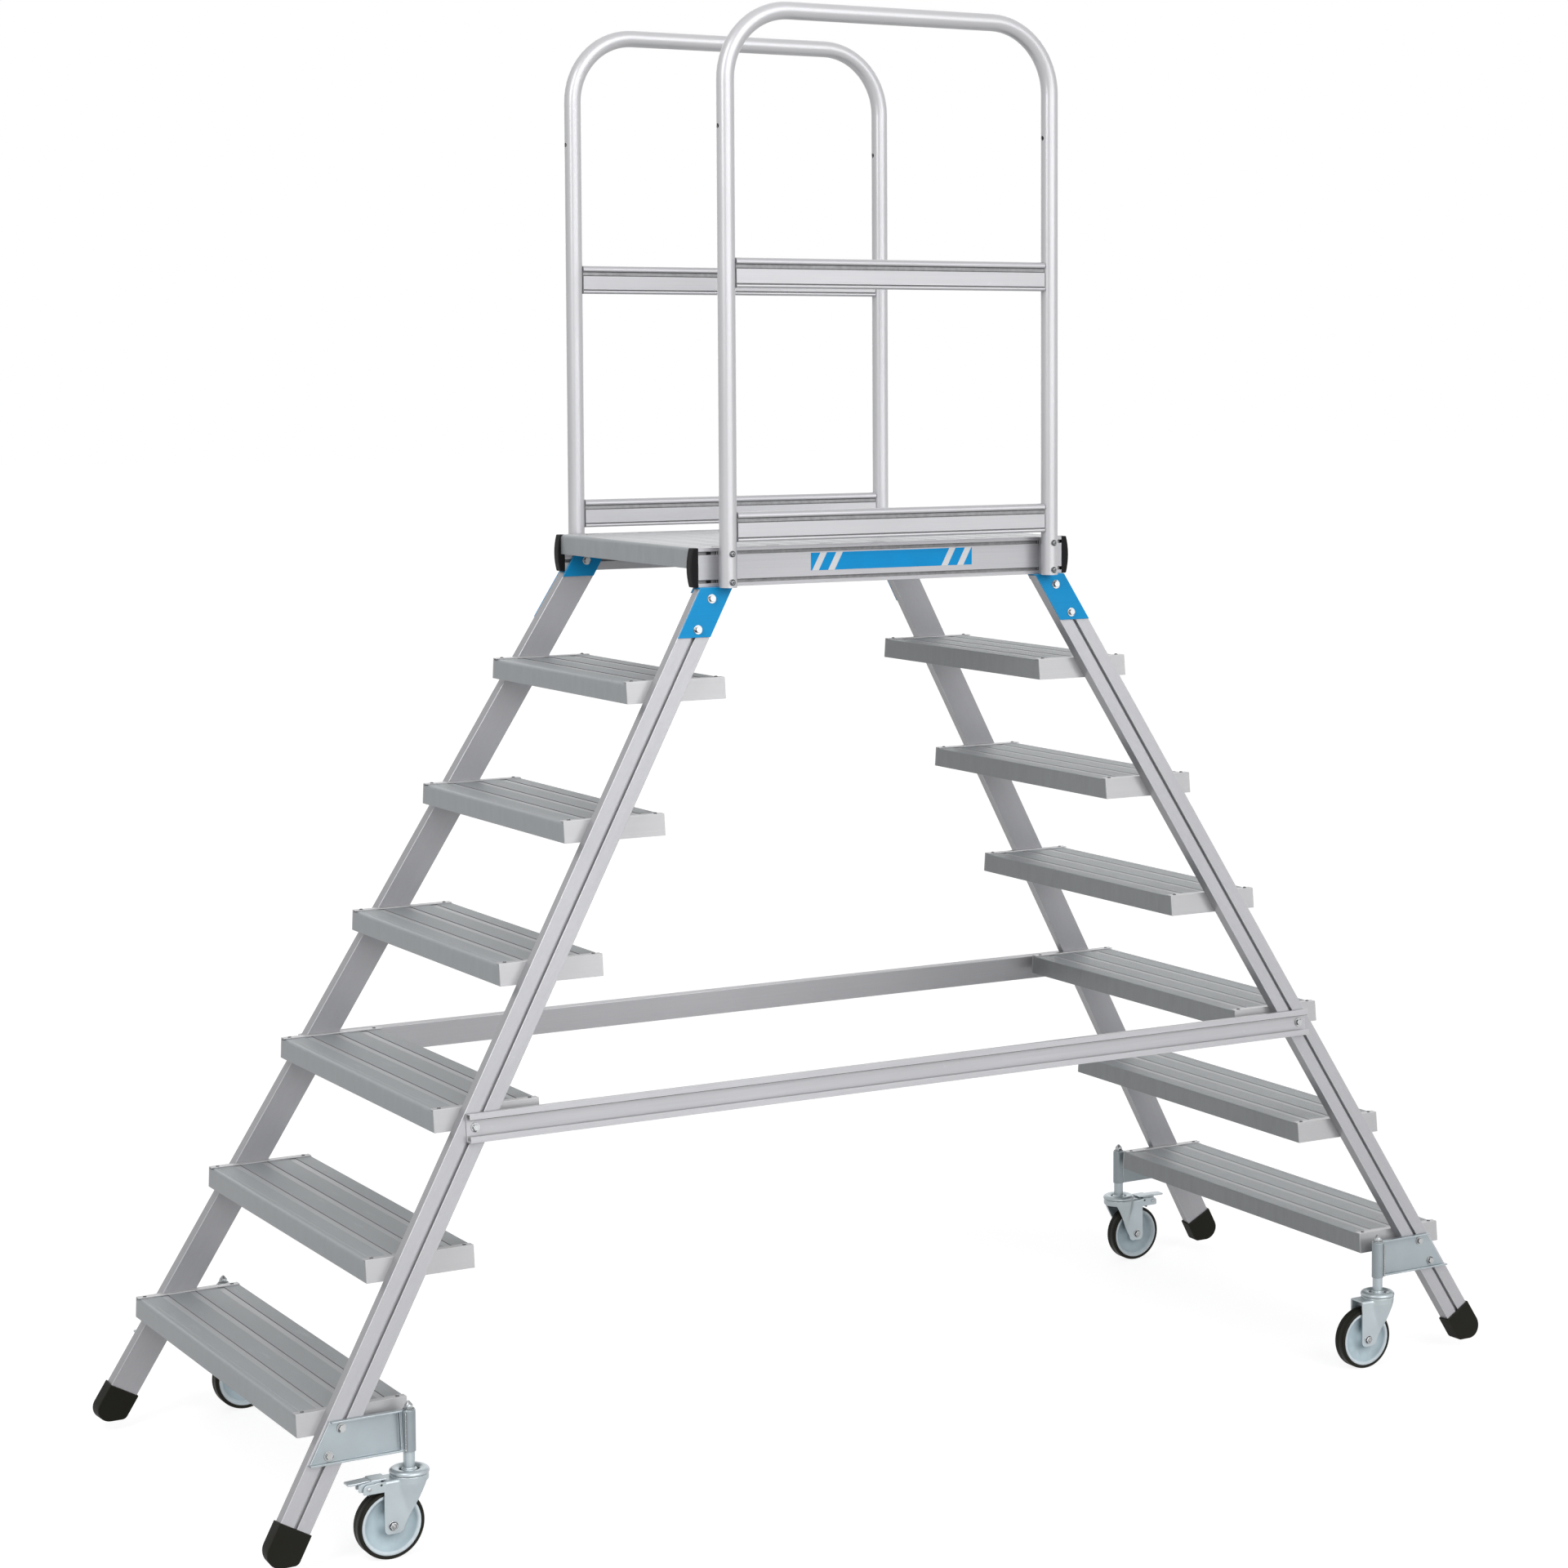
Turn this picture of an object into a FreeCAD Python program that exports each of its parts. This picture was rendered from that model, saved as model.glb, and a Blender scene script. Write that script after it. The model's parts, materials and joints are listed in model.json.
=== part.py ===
import FreeCAD, Part
import math
import os
import Sketcher

# Mobile ladder stand: two flights of six treads lean against one platform with two guard
# rails. Four sprung swivel castors carry it, and it sinks onto its rubber feet under load.
# Millimetres. +Z is up, +X runs along the stand, Z = 0 is the floor under the wheels.

from FreeCAD import Placement, Rotation, Vector

SIDES = {"near": -1, "far": 1}      # the two long sides, along Y
ENDS = {"left": -1, "right": 1}     # the two flights, along X
TREAD_CHAMBERS = 3
DECK_CHAMBERS = 9
SPRING_TURNS = 5
CLEAR_OF_PART = 40.0                # how far a cutting tool stands past the piece it trims

SIZES = [
    # the flights
    ("tread_rise", 240, "height of one step"),
    ("tread_count", 6, "treads in one flight"),
    ("lean_angle", 60, "slope of a flight, seen from the side"),
    ("flare_angle", 6.28, "outward lean of each stile, seen from the end"),
    ("foot_lift", 20, "feet above the floor while the castors carry the stand"),
    ("tread_depth", 200, "tread from front to back"),
    ("tread_height", 38, "depth of the tread and deck profile"),
    ("tread_wall", 2, "wall of the tread and deck profile"),
    ("nose_radius", 8, "rounded front edge of treads and deck"),
    ("nosing_overhang", 50.3, "tread front ahead of the stile front"),
    ("end_plate_thickness", 3, "plate on each tread end"),
    ("end_flange_width", 12, "flange of the end plate over the tread"),
    ("end_flange_thickness", 2, "thickness of that flange"),
    ("rivet_diameter", 4, "tread rivet shank"),
    ("rivet_head_diameter", 8, "tread rivet head"),
    ("rivet_head_height", 2, "tread rivet head"),
    ("rivet_inset", 14, "rivet from the tread's front and back edge"),
    # the stiles
    ("stile_depth", 57.5, "stile profile, front to back"),
    ("stile_thickness", 24, "stile profile, across"),
    ("stile_wall", 2, "stile profile wall"),
    ("stile_end_lift", 32, "stile end above the sole, inside the foot"),
    ("foot_wall", 3, "rubber round the stile"),
    ("foot_height", 61, "foot from sole to upper edge at mid depth"),
    ("foot_toe_radius", 26, "rounded toe of the foot"),
    ("foot_heel_radius", 12, "rounded heel of the foot"),
    # T-slots in stiles and side rails, with the bolts and nuts that use them
    ("slot_mouth", 6.4, "open width of a T-slot"),
    ("slot_channel", 12, "inner width of a T-slot"),
    ("slot_channel_depth", 5, "inner depth of a T-slot"),
    ("slot_lip", 2.5, "lip of a T-slot"),
    ("bolt_diameter", 6, "frame bolts"),
    ("bolt_hole_clearance", 0.6, "bolt holes over the bolt, on diameter"),
    ("bolt_length", 9.5, "short bolt under its washer"),
    ("bolt_head_across", 12, "hexagon over its corners"),
    ("bolt_head_height", 4.5, "bolt head"),
    ("washer_diameter", 17, "washer under a frame bolt"),
    ("washer_thickness", 1.5, "washer under a frame bolt"),
    ("slot_nut_length", 16, "nut along the T-slot"),
    ("slot_nut_height", 4, "nut in the T-slot"),
    ("slot_nut_play", 1, "nut narrower than the T-slot"),
    # the platform
    ("platform_length", 808, "deck over both nosings"),
    ("platform_width", 596, "over the side rails"),
    ("rail_height", 72, "side rail"),
    ("rail_thickness", 18, "side rail"),
    ("rail_wall", 2.5, "side rail wall"),
    ("rail_setback", 9, "side rail end behind the deck nosing"),
    ("rail_slot_inset", 10, "outer T-slots from the rail's upper and lower edge"),
    ("inner_slot_height", 20, "inner T-slot above the rail's lower edge"),
    ("end_cap_length", 16, "plastic cap on each rail end"),
    ("end_cap_bow", 5, "how far the cap's end bulges"),
    # the guard rails
    ("handrail_height", 995, "top of the handrail above the platform"),
    ("handrail_diameter", 32.5, "handrail tube"),
    ("handrail_wall", 2, "handrail tube"),
    ("handrail_bend", 130, "bend radius on the tube's centreline"),
    ("post_spacing", 697, "between the centrelines of two posts"),
    ("post_gap", 12, "saddle between the side rail and a post"),
    ("saddle_width", 13, "saddle along the rail"),
    ("chain_hole_height", 765, "holes for a chain above the platform"),
    ("chain_hole_diameter", 9, "holes for a chain"),
    ("guard_rail_height", 55, "knee rail and toe board profile"),
    ("guard_rail_thickness", 22, "knee rail and toe board profile"),
    ("guard_rail_wall", 2.5, "knee rail and toe board profile"),
    ("guard_rail_bead", 14, "rounded bead on both edges of that profile"),
    ("guard_rail_groove", 5, "groove beside each bead"),
    ("guard_rail_groove_depth", 3, "groove beside each bead"),
    ("knee_rail_centre", 501, "knee rail above the platform"),
    ("toe_board_centre", 38.5, "toe board above the platform"),
    # the struts and the brackets at the head of each stile
    ("strut_centre", 709.5, "strut above the floor"),
    ("strut_height", 51, "strut profile"),
    ("strut_depth", 15, "strut profile"),
    ("strut_wall", 2.5, "strut profile"),
    ("strut_overhang", 17, "strut past its bolt"),
    ("bracket_plate", 3, "head bracket sheet"),
    ("bracket_drop", 90, "head bracket below the rail, outside the stile"),
    ("bracket_inner_rise", 32, "head bracket up the rail's inner face"),
    ("bracket_inner_drop", 11, "head bracket down the stile's inner face"),
    ("bracket_upper_bolt", 21, "bolt below the rail"),
    ("bracket_lower_bolt", 76, "bolt below the rail"),
    # the castor brackets
    ("castor_bracket_base", 179.5, "bracket above the floor"),
    ("castor_bracket_height", 70, "bracket channel"),
    ("castor_bracket_wall", 3, "bracket channel"),
    ("castor_bracket_flange", 12, "bracket channel flanges, over its web"),
    ("castor_bracket_inset", 5, "bracket end behind the stile front"),
    ("castor_lower_bolt", 12.5, "bolt above the bracket's lower edge"),
    ("castor_upper_bolt", 56, "bolt above the bracket's lower edge"),
    ("castor_setback", 149, "castor axis behind the stile's middle"),
    ("castor_standoff", 12.1, "castor axis outside the stile's outer face"),
    ("castor_tube_diameter", 24, "tube that guides the stem"),
    ("castor_tube_height", 72, "tube that guides the stem"),
    ("castor_plug", 6, "closed upper end of that tube"),
    ("channel_into_tube", 6, "how far the channel is let into the tube wall"),
    # the castors
    ("castor_travel", 20, "sprung travel of the stem"),
    ("castor_stop_gap", 0.3, "play under the stop nut"),
    ("crown_gap", 6, "left under the tube when the spring is closed"),
    ("running_fit", 0.05, "radial play of sliding and turning pins"),
    ("turning_gap", 0.3, "axial play beside turning faces"),
    ("stem_diameter", 20, "castor stem in its tube"),
    ("stem_engagement", 20, "thick stem inside the tube at rest"),
    ("rod_diameter", 10, "thin upper end of the stem"),
    ("stop_nut_across", 18, "stop nut over its corners"),
    ("stop_nut_height", 9, "stop nut"),
    ("stop_nut_dome", 7.2, "radius of the nut's domed top"),
    ("stop_nut_dome_depth", 2.7, "centre of that dome below the nut's top"),
    ("stop_washer_diameter", 22, "washer under the stop nut"),
    ("stop_washer_thickness", 2, "washer under the stop nut"),
    ("spring_diameter", 18.4, "spring, outside"),
    ("spring_wire", 3, "spring wire"),
    ("crown_diameter", 68, "fork head that holds the stem's flange"),
    ("crown_wall", 5, "side wall of the fork head"),
    ("crown_round", 9, "rounded upper edge of the fork head"),
    ("crown_opening", 34, "mouth of the fork head round the stem"),
    ("crown_height", 17, "fork head with the plate that joins the legs"),
    ("race_diameter", 54, "stem flange in the fork head"),
    ("race_thickness", 5, "stem flange in the fork head"),
    ("kingpin_diameter", 12, "pin through the fork head"),
    ("kingpin_head_diameter", 20, "riveted end of that pin"),
    ("kingpin_head_height", 4, "riveted end of that pin"),
    ("fork_plate", 3.5, "sheet of the fork"),
    ("fork_clearance", 2, "between the tyre and each fork leg"),
    ("fork_boss_radius", 15, "lower end of the fork leg"),
    ("fork_front", 21, "front upper corner of the fork leg before the swivel axis"),
    ("wheel_diameter", 121, "castor wheel"),
    ("wheel_width", 29, "castor tyre"),
    ("wheel_trail", 38, "axle behind the swivel axis"),
    ("tyre_section", 6.5, "tyre, radially"),
    ("tyre_shoulder", 5, "rounded edge of the tyre"),
    ("rim_wall", 4, "rim band"),
    ("rim_width", 27, "rim band"),
    ("rim_web", 6, "rim disc"),
    ("hub_diameter", 28, "rim hub"),
    ("axle_diameter", 8, "axle bolt"),
    ("axle_head_across", 15, "axle bolt head over its corners"),
    ("axle_head_height", 5, "axle bolt head"),
    ("axle_nut_height", 6.5, "axle nut"),
    # the brake pedals
    ("pedal_hinge_trail", 78.5, "pedal hinge behind the swivel axis"),
    ("pedal_hinge_height", 130.7, "pedal hinge above the floor"),
    ("pedal_ear_margin", 6.5, "fork ear round the pedal hinge"),
    ("pedal_pin_diameter", 5, "pedal hinge pin"),
    ("pedal_barrel_radius", 5, "pedal round its pin"),
    ("pedal_width", 31, "pedal"),
    ("pedal_sheet", 3.5, "pedal plate"),
    ("pedal_plate_rise", 11, "underside of the pedal plate above its hinge"),
    ("pedal_back", 23, "pedal plate before its hinge"),
    ("pedal_front", 36.5, "pedal tip beyond its hinge"),
    ("pedal_tip_rise", 3, "pedal tip above the plate"),
    ("pedal_throw", 8, "degrees the pedal turns"),
    ("pedal_lobe_half_angle", 25, "brake lobe to either side of its tip"),
    ("brake_gap", 0.4, "between the lobe and the tyre with the pedal down"),
]

doc = FreeCAD.newDocument("MobileLadderStand")
sheet = doc.addObject("Spreadsheet::Sheet", "Size")
for row, (alias, value, meaning) in enumerate(SIZES, start=1):
    sheet.set(f"A{row}", meaning)
    sheet.set(f"B{row}", str(value))
    sheet.setAlias(f"B{row}", alias)
doc.recompute()

# Formulas that several sub-parts share. Heights are above the floor.
FLARE = "tan(Size.flare_angle * 1deg)"
FLARE_COS = "cos(Size.flare_angle * 1deg)"
LEAN = "(1 / tan(Size.lean_angle * 1deg))"
PLATFORM_TOP = "(Size.foot_lift + Size.tread_rise * (Size.tread_count + 1))"
RAIL_BOTTOM = f"({PLATFORM_TOP} - Size.rail_height)"
RAIL_INNER = "(Size.platform_width / 2 - Size.rail_thickness)"
RAIL_LENGTH = "(Size.platform_length - 2 * Size.rail_setback)"
POST_OFFSET = "(Size.platform_width / 2 + Size.post_gap + Size.handrail_diameter / 2)"
STILE_RUN = "(Size.stile_depth / sin(Size.lean_angle * 1deg))"
SLOT_DEPTH = "(Size.slot_lip + Size.slot_channel_depth)"
BOLT_HOLE_RADIUS = "((Size.bolt_diameter + Size.bolt_hole_clearance) / 2)"
BRACKET_MIDDLE = "(Size.castor_bracket_base + Size.castor_bracket_height / 2)"
CROWN_TOP = "(Size.castor_bracket_base - Size.castor_travel - Size.crown_gap)"
CROWN_BASE = f"({CROWN_TOP} - Size.crown_height)"
RACE_BASE = f"({CROWN_BASE} + Size.fork_plate + Size.turning_gap)"
TUBE_TOP = "(Size.castor_bracket_base + Size.castor_tube_height)"
SHOULDER = "(Size.castor_bracket_base + Size.stem_engagement)"
STOP_BASE = f"({TUBE_TOP} + Size.castor_stop_gap)"
LEG_INSIDE = "(Size.wheel_width / 2 + Size.fork_clearance)"
LEG_OUTSIDE = f"({LEG_INSIDE} + Size.fork_plate)"
TYRE_INSIDE = "(Size.wheel_diameter / 2 - Size.tyre_section)"


def measure(expression):
    """The value of a formula over the sheet."""
    return float(sheet.evalExpression(str(expression)))


def stile_middle(height):
    """Distance of a stile's mid depth from the middle of the stand, at a height."""
    front = "(Size.platform_length / 2 - Size.nosing_overhang)"
    return f"({front} - {STILE_RUN} / 2 + ({PLATFORM_TOP} - ({height})) * {LEAN})"


def stile_inside(height):
    """Distance of a stile's inner face from the middle plane, at a height."""
    return f"({RAIL_INNER} + ({RAIL_BOTTOM} - ({height})) * {FLARE})"


def stile_outside(height):
    """Distance of a stile's outer face from the middle plane, at a height."""
    return f"({stile_inside(height)} + Size.stile_thickness / {FLARE_COS})"


def down_face(height):
    """Place of a height on a stile's outer face, measured up that face from the rail."""
    return f"((({height}) - {RAIL_BOTTOM}) / {FLARE_COS})"


CASTOR_ALONG = f"({stile_middle('Size.castor_bracket_base')} - Size.castor_setback)"
CASTOR_ACROSS = f"({stile_outside(BRACKET_MIDDLE)} + Size.castor_standoff)"


# Frames. Each has X along the stand, Y outward and Z up on its own side of the stand.

def move(x=0, y=0, z=0):
    return Placement(Vector(measure(x), measure(y), measure(z)), Rotation())


def turn(axis, degrees):
    return Placement(Vector(0, 0, 0), Rotation(axis, degrees))


def side_turn(side):
    """Half a turn for the near side, none for the far side."""
    return turn(Vector(0, 0, 1), 0 if side > 0 else 180)


def rail_frame(side):
    """At the lower inner edge of a side rail, upright."""
    return side_turn(side) * move(y=RAIL_INNER, z=RAIL_BOTTOM)


def face_frame(side):
    """On the outer faces of one side's stiles, tilted with them."""
    outward = move(y=f"Size.stile_thickness / {FLARE_COS}")
    return rail_frame(side) * outward * turn(Vector(1, 0, 0), measure("Size.flare_angle"))


def lean_in_face():
    """Lean of a stile from the steepest line of its own face, in degrees."""
    return math.degrees(math.atan(measure(f"{LEAN} * {FLARE_COS}")))


def stile_frame(side, end):
    """On a stile's outer face at mid depth, with Z up along the stile."""
    hand = side * end
    shift = move(x=f"{hand} * {stile_middle(RAIL_BOTTOM)}")
    return face_frame(side) * shift * turn(Vector(0, 1, 0), -hand * lean_in_face())


def along_stile(height):
    """Place of a height along the mid-depth line of a stile's outer face."""
    return measure(down_face(height)) / math.cos(math.radians(lean_in_face()))


def castor_frame(side, end):
    """On the floor under a castor's swivel axis, with X the way the wheel trails."""
    hand = side * end
    return side_turn(side) * move(x=f"{hand} * {CASTOR_ALONG}", y=CASTOR_ACROSS)


# Building blocks

def new_body(label):
    body = doc.addObject("PartDesign::Body", label)
    body.Label = label
    return body


def new_sketch(body, role, name, offset=None):
    """Sketch on one of the body's own origin planes, moved along its normal by offset."""
    sketch = body.newObject("Sketcher::SketchObject", f"{body.Name}_{name}")
    plane = next(item for item in body.Origin.OriginFeatures if item.Role == role)
    sketch.AttachmentSupport = (plane, "")
    sketch.MapMode = "FlatFace"
    if offset is not None:
        sketch.setExpression("AttachmentOffset.Base.z", str(offset))
    return sketch


def hold(sketch, constraint, expression):
    index = sketch.addConstraint(constraint)
    sketch.setExpression(f"Constraints[{index}]", str(expression))


def hold_point(sketch, geometry, point, place):
    for kind, expression in zip(("DistanceX", "DistanceY"), place):
        rule = Sketcher.Constraint(kind, -1, 1, geometry, point, measure(expression))
        hold(sketch, rule, expression)


def arc_between(start, end, radius):
    """Anticlockwise arc of at most half a turn."""
    chord = end - start
    leftward = Vector(-chord.y, chord.x, 0).normalize()
    rise = math.sqrt(max(radius ** 2 - (chord.Length / 2) ** 2, 0))
    centre = (start + end) / 2 + leftward * rise
    circle = Part.Circle(centre, Vector(0, 0, 1), radius)
    angles = [math.atan2(point.y - centre.y, point.x - centre.x) for point in (start, end)]
    return Part.ArcOfCircle(circle, angles[0], angles[1])


def outline(sketch, corners):
    """Closed loop, anticlockwise. A corner's third item is the radius of the arc after it."""
    places = [Vector(measure(corner[0]), measure(corner[1]), 0) for corner in corners]
    first = sketch.GeometryCount
    count = len(corners)
    for index, corner in enumerate(corners):
        start, end = places[index], places[(index + 1) % count]
        if len(corner) == 3:
            sketch.addGeometry(arc_between(start, end, measure(corner[2])), False)
        else:
            sketch.addGeometry(Part.LineSegment(start, end), False)
    for index, corner in enumerate(corners):
        following = first + (index + 1) % count
        sketch.addConstraint(Sketcher.Constraint("Coincident", first + index, 2, following, 1))
        hold_point(sketch, first + index, 1, corner[:2])
        if len(corner) == 3:
            rule = Sketcher.Constraint("Radius", first + index, measure(corner[2]))
            hold(sketch, rule, corner[2])


def box_outline(sketch, left, bottom, right, top):
    outline(sketch, [(left, bottom), (right, bottom), (right, top), (left, top)])


def circle(sketch, x, y, radius):
    centre = Vector(measure(x), measure(y), 0)
    index = sketch.GeometryCount
    sketch.addGeometry(Part.Circle(centre, Vector(0, 0, 1), measure(radius)), False)
    hold_point(sketch, index, 3, (x, y))
    hold(sketch, Sketcher.Constraint("Radius", index, measure(radius)), radius)


def pad(body, sketch, length, side="Symmetric"):
    feature = body.newObject("PartDesign::Pad", f"{sketch.Name}_pad")
    feature.Profile = sketch
    feature.SideType = side
    feature.setExpression("Length", str(length))
    return feature


def pocket_through(body, sketch):
    feature = body.newObject("PartDesign::Pocket", f"{sketch.Name}_pocket")
    feature.Profile = sketch
    feature.SideType = "Symmetric"
    feature.Type = "ThroughAll"
    return feature


def revolve(body, sketch, axis):
    feature = body.newObject("PartDesign::Revolution", f"{sketch.Name}_turned")
    feature.Profile = sketch
    feature.ReferenceAxis = (sketch, [axis])
    feature.Angle = 360
    return feature


def cylinder(body, name, radius, height, place, cut=False):
    kind = "SubtractiveCylinder" if cut else "AdditiveCylinder"
    feature = body.newObject(f"PartDesign::{kind}", f"{body.Name}_{name}")
    feature.setExpression("Radius", str(radius))
    feature.setExpression("Height", str(height))
    feature.Placement = place
    return feature


def hexagon(body, name, over_corners, height, place):
    feature = body.newObject("PartDesign::AdditivePrism", f"{body.Name}_{name}")
    feature.Polygon = 6
    feature.setExpression("Circumradius", f"{over_corners} / 2")
    feature.setExpression("Height", str(height))
    feature.Placement = place
    return feature


def trim_box(body, name, place):
    """Cuts away everything above the XY plane of a placement."""
    reach = measure(f"Size.stile_depth + {CLEAR_OF_PART}")
    corner = Placement(Vector(-reach, -reach, 0), Rotation())
    feature = body.newObject("PartDesign::SubtractiveBox", f"{body.Name}_{name}")
    for side in ("Length", "Width", "Height"):
        feature.setExpression(side, f"2 * (Size.stile_depth + {CLEAR_OF_PART})")
    feature.Placement = place * corner
    return feature


def copy_of(source, label, place):
    link = doc.addObject("App::Link", label)
    link.LinkedObject = source
    link.Placement = place
    return link


def group(label, members):
    compound = doc.addObject("Part::Compound", label)
    compound.Label = label
    compound.Links = members
    return compound


def corners_of_stand():
    """Every stile's place: side name, side sign, end name, end sign."""
    for side_name, side in SIDES.items():
        for end_name, end in ENDS.items():
            yield side_name, side, end_name, end


# Flights

def slot_corners(across, depth_sign):
    """Corners of a T-slot whose mouth lies on the line at zero depth."""
    half_mouth, half_channel = "Size.slot_mouth / 2", "Size.slot_channel / 2"
    lip, floor = f"{depth_sign} * Size.slot_lip", f"{depth_sign} * {SLOT_DEPTH}"
    return [
        (f"{across} + {half_mouth}", "0"),
        (f"{across} + {half_mouth}", lip),
        (f"{across} + {half_channel}", lip),
        (f"{across} + {half_channel}", floor),
        (f"{across} - {half_channel}", floor),
        (f"{across} - {half_channel}", lip),
        (f"{across} - {half_mouth}", lip),
        (f"{across} - {half_mouth}", "0"),
    ]


def build_stile(label, side, end):
    """Hollow extrusion with one T-slot, mitred level at its head."""
    body = new_body(label)
    place = stile_frame(side, end)
    half, wall = "Size.stile_depth / 2", "Size.stile_wall"
    base = along_stile("Size.foot_lift + Size.stile_end_lift")
    sketch = new_sketch(body, "XY_Plane", "profile", base)
    back = [(f"-({half})", "-Size.stile_thickness"), (half, "-Size.stile_thickness")]
    outline(sketch, back + [(half, "0")] + slot_corners("0", -1) + [(f"-({half})", "0")])
    clear = f"(Size.slot_channel / 2 + {wall})"
    under_slot = f"-({SLOT_DEPTH} + {wall})"
    outline(sketch, [
        (f"-({half} - {wall})", f"-(Size.stile_thickness - {wall})"),
        (f"{half} - {wall}", f"-(Size.stile_thickness - {wall})"),
        (f"{half} - {wall}", f"-{wall}"),
        (clear, f"-{wall}"),
        (clear, under_slot),
        (f"-{clear}", under_slot),
        (f"-{clear}", f"-{wall}"),
        (f"-({half} - {wall})", f"-{wall}"),
    ])
    pad(body, sketch, f"{-base} + {half}", "One side")
    head = move(x=f"{side * end} * {stile_middle(RAIL_BOTTOM)} * {side}",
                y=f"{side} * {stile_outside(RAIL_BOTTOM)}",
                z=f"{RAIL_BOTTOM} - Size.bracket_plate")
    trim_box(body, "head", place.inverse() * head)
    body.Placement = place
    return body


def build_foot(side, end):
    """Rubber boot over the stile's lower end, its level sole rounded at toe and heel."""
    body = new_body(f"foot_{side}_{end}".replace("-", "m"))
    place = stile_frame(side, end)
    half = "(Size.stile_depth / 2 + Size.foot_wall)"
    inner, outer = "-(Size.stile_thickness + Size.foot_wall)", "Size.foot_wall"
    top = along_stile("Size.foot_lift + Size.foot_height")
    stile_end = along_stile("Size.foot_lift + Size.stile_end_lift")
    block = new_sketch(body, "XY_Plane", "block", top)
    box_outline(block, f"-{half}", inner, half, outer)
    block_pad = pad(body, block, "2 * Size.foot_height", "One side")
    block_pad.Reversed = True
    stile = new_sketch(body, "XY_Plane", "stile", stile_end)
    box_outline(stile, "-Size.stile_depth / 2", "-Size.stile_thickness", "Size.stile_depth / 2", "0")
    seat = body.newObject("PartDesign::Pocket", f"{body.Name}_seat")
    seat.Profile = stile
    seat.Reversed = True
    seat.setExpression("Length", "2 * Size.foot_height")
    sole = place.inverse() * move(x=f"{end} * {stile_middle('Size.foot_lift')}",
                                  y=f"{side} * {stile_outside('Size.foot_lift')}",
                                  z="Size.foot_lift")
    rounded = trim_box(body, "sole", sole * turn(Vector(1, 0, 0), 180))
    for name, outward in (("toe", end), ("heel", -end)):
        doc.recompute()
        edges = list(enumerate(rounded.Shape.Edges, start=1))
        number, _ = min(edges, key=lambda edge: sole_order(place, edge[1], outward))
        fillet = body.newObject("PartDesign::Fillet", f"{body.Name}_{name}")
        fillet.Base = (rounded, [f"Edge{number}"])
        fillet.setExpression("Radius", f"Size.foot_{name}_radius")
        rounded = fillet
    body.Placement = place
    return body


def sole_order(place, edge, outward):
    """Sorts edges so that the foot's lowest one, furthest out, comes first."""
    middle = place.multVec(edge.valueAt((edge.FirstParameter + edge.LastParameter) / 2))
    return (round(middle.z, 3), -outward * middle.x)


def nosed_corners(length, both_ends):
    """Profile of a tread or deck about its middle, with the top at zero."""
    half, drop, round_off = f"({length} / 2)", "-Size.tread_height", "Size.nose_radius"
    front = [(half, f"-{round_off}", round_off), (f"{half} - {round_off}", "0")]
    if both_ends:
        back = [(f"-({half} - {round_off})", "0", round_off), (f"-{half}", f"-{round_off}")]
    else:
        back = [(f"-{half}", "0")]
    return [(f"-{half}", drop), (half, drop)] + front + back


def chambers(sketch, length, count):
    """Equal hollow chambers side by side inside a nosed profile."""
    wall, inner = "Size.tread_wall", f"({length} - 2 * Size.nose_radius)"
    for index in range(count):
        left = f"-{inner} / 2 + {inner} * {index} / {count} + {wall} / 2"
        right = f"-{inner} / 2 + {inner} * {index + 1} / {count} - {wall} / 2"
        box_outline(sketch, left, f"-Size.tread_height + {wall}", right, f"-{wall}")


def tread_height_at(number):
    return f"({PLATFORM_TOP} - {number} * Size.tread_rise)"


def tread_half_length(number, below=0):
    """Half length of a tread between its end plates, at a depth below its top."""
    height = f"{tread_height_at(number)} - ({below})"
    return f"({stile_inside(height)} - Size.end_plate_thickness / {FLARE_COS})"


def tread_place(number, end):
    run = f"Size.platform_length / 2 + {number} * Size.tread_rise * {LEAN} - Size.tread_depth / 2"
    across = turn(Vector(0, 0, 1), 0 if end > 0 else 180)
    return across * move(x=run, z=tread_height_at(number))


def build_tread(label, number, end):
    """Hollow nosed extrusion, mitred to the flare of the stiles, with rivet holes."""
    body = new_body(label)
    profile = new_sketch(body, "XZ_Plane", "profile")
    outline(profile, nosed_corners("Size.tread_depth", False))
    chambers(profile, "Size.tread_depth", TREAD_CHAMBERS)
    pad(body, profile, f"2 * {tread_half_length(number, 'Size.tread_height')}")
    mitre = new_sketch(body, "YZ_Plane", "mitre")
    upper, lower = f"-{CLEAR_OF_PART}", f"Size.tread_height + {CLEAR_OF_PART}"
    far = f"{tread_half_length(number, lower)} + {CLEAR_OF_PART}"
    for sign in (-1, 1):
        corners = [
            (f"{sign} * {tread_half_length(number, lower)}", f"-({lower})"),
            (f"{sign} * ({far})", f"-({lower})"),
            (f"{sign} * ({far})", f"-({upper})"),
            (f"{sign} * {tread_half_length(number, upper)}", f"-({upper})"),
        ]
        outline(mitre, corners if sign > 0 else corners[::-1])
    pocket_through(body, mitre)
    holes = new_sketch(body, "XY_Plane", "rivet_holes")
    row = f"({tread_half_length(number)} - Size.end_flange_width / 2)"
    for along in (-1, 1):
        for across in (-1, 1):
            x = f"{along} * (Size.tread_depth / 2 - Size.rivet_inset)"
            circle(holes, x, f"{across} * {row}", "Size.rivet_diameter / 2")
    drilled = body.newObject("PartDesign::Pocket", f"{body.Name}_drilled")
    drilled.Profile = holes
    drilled.setExpression("Length", "Size.tread_wall")
    body.Placement = tread_place(number, end)
    return body


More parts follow.
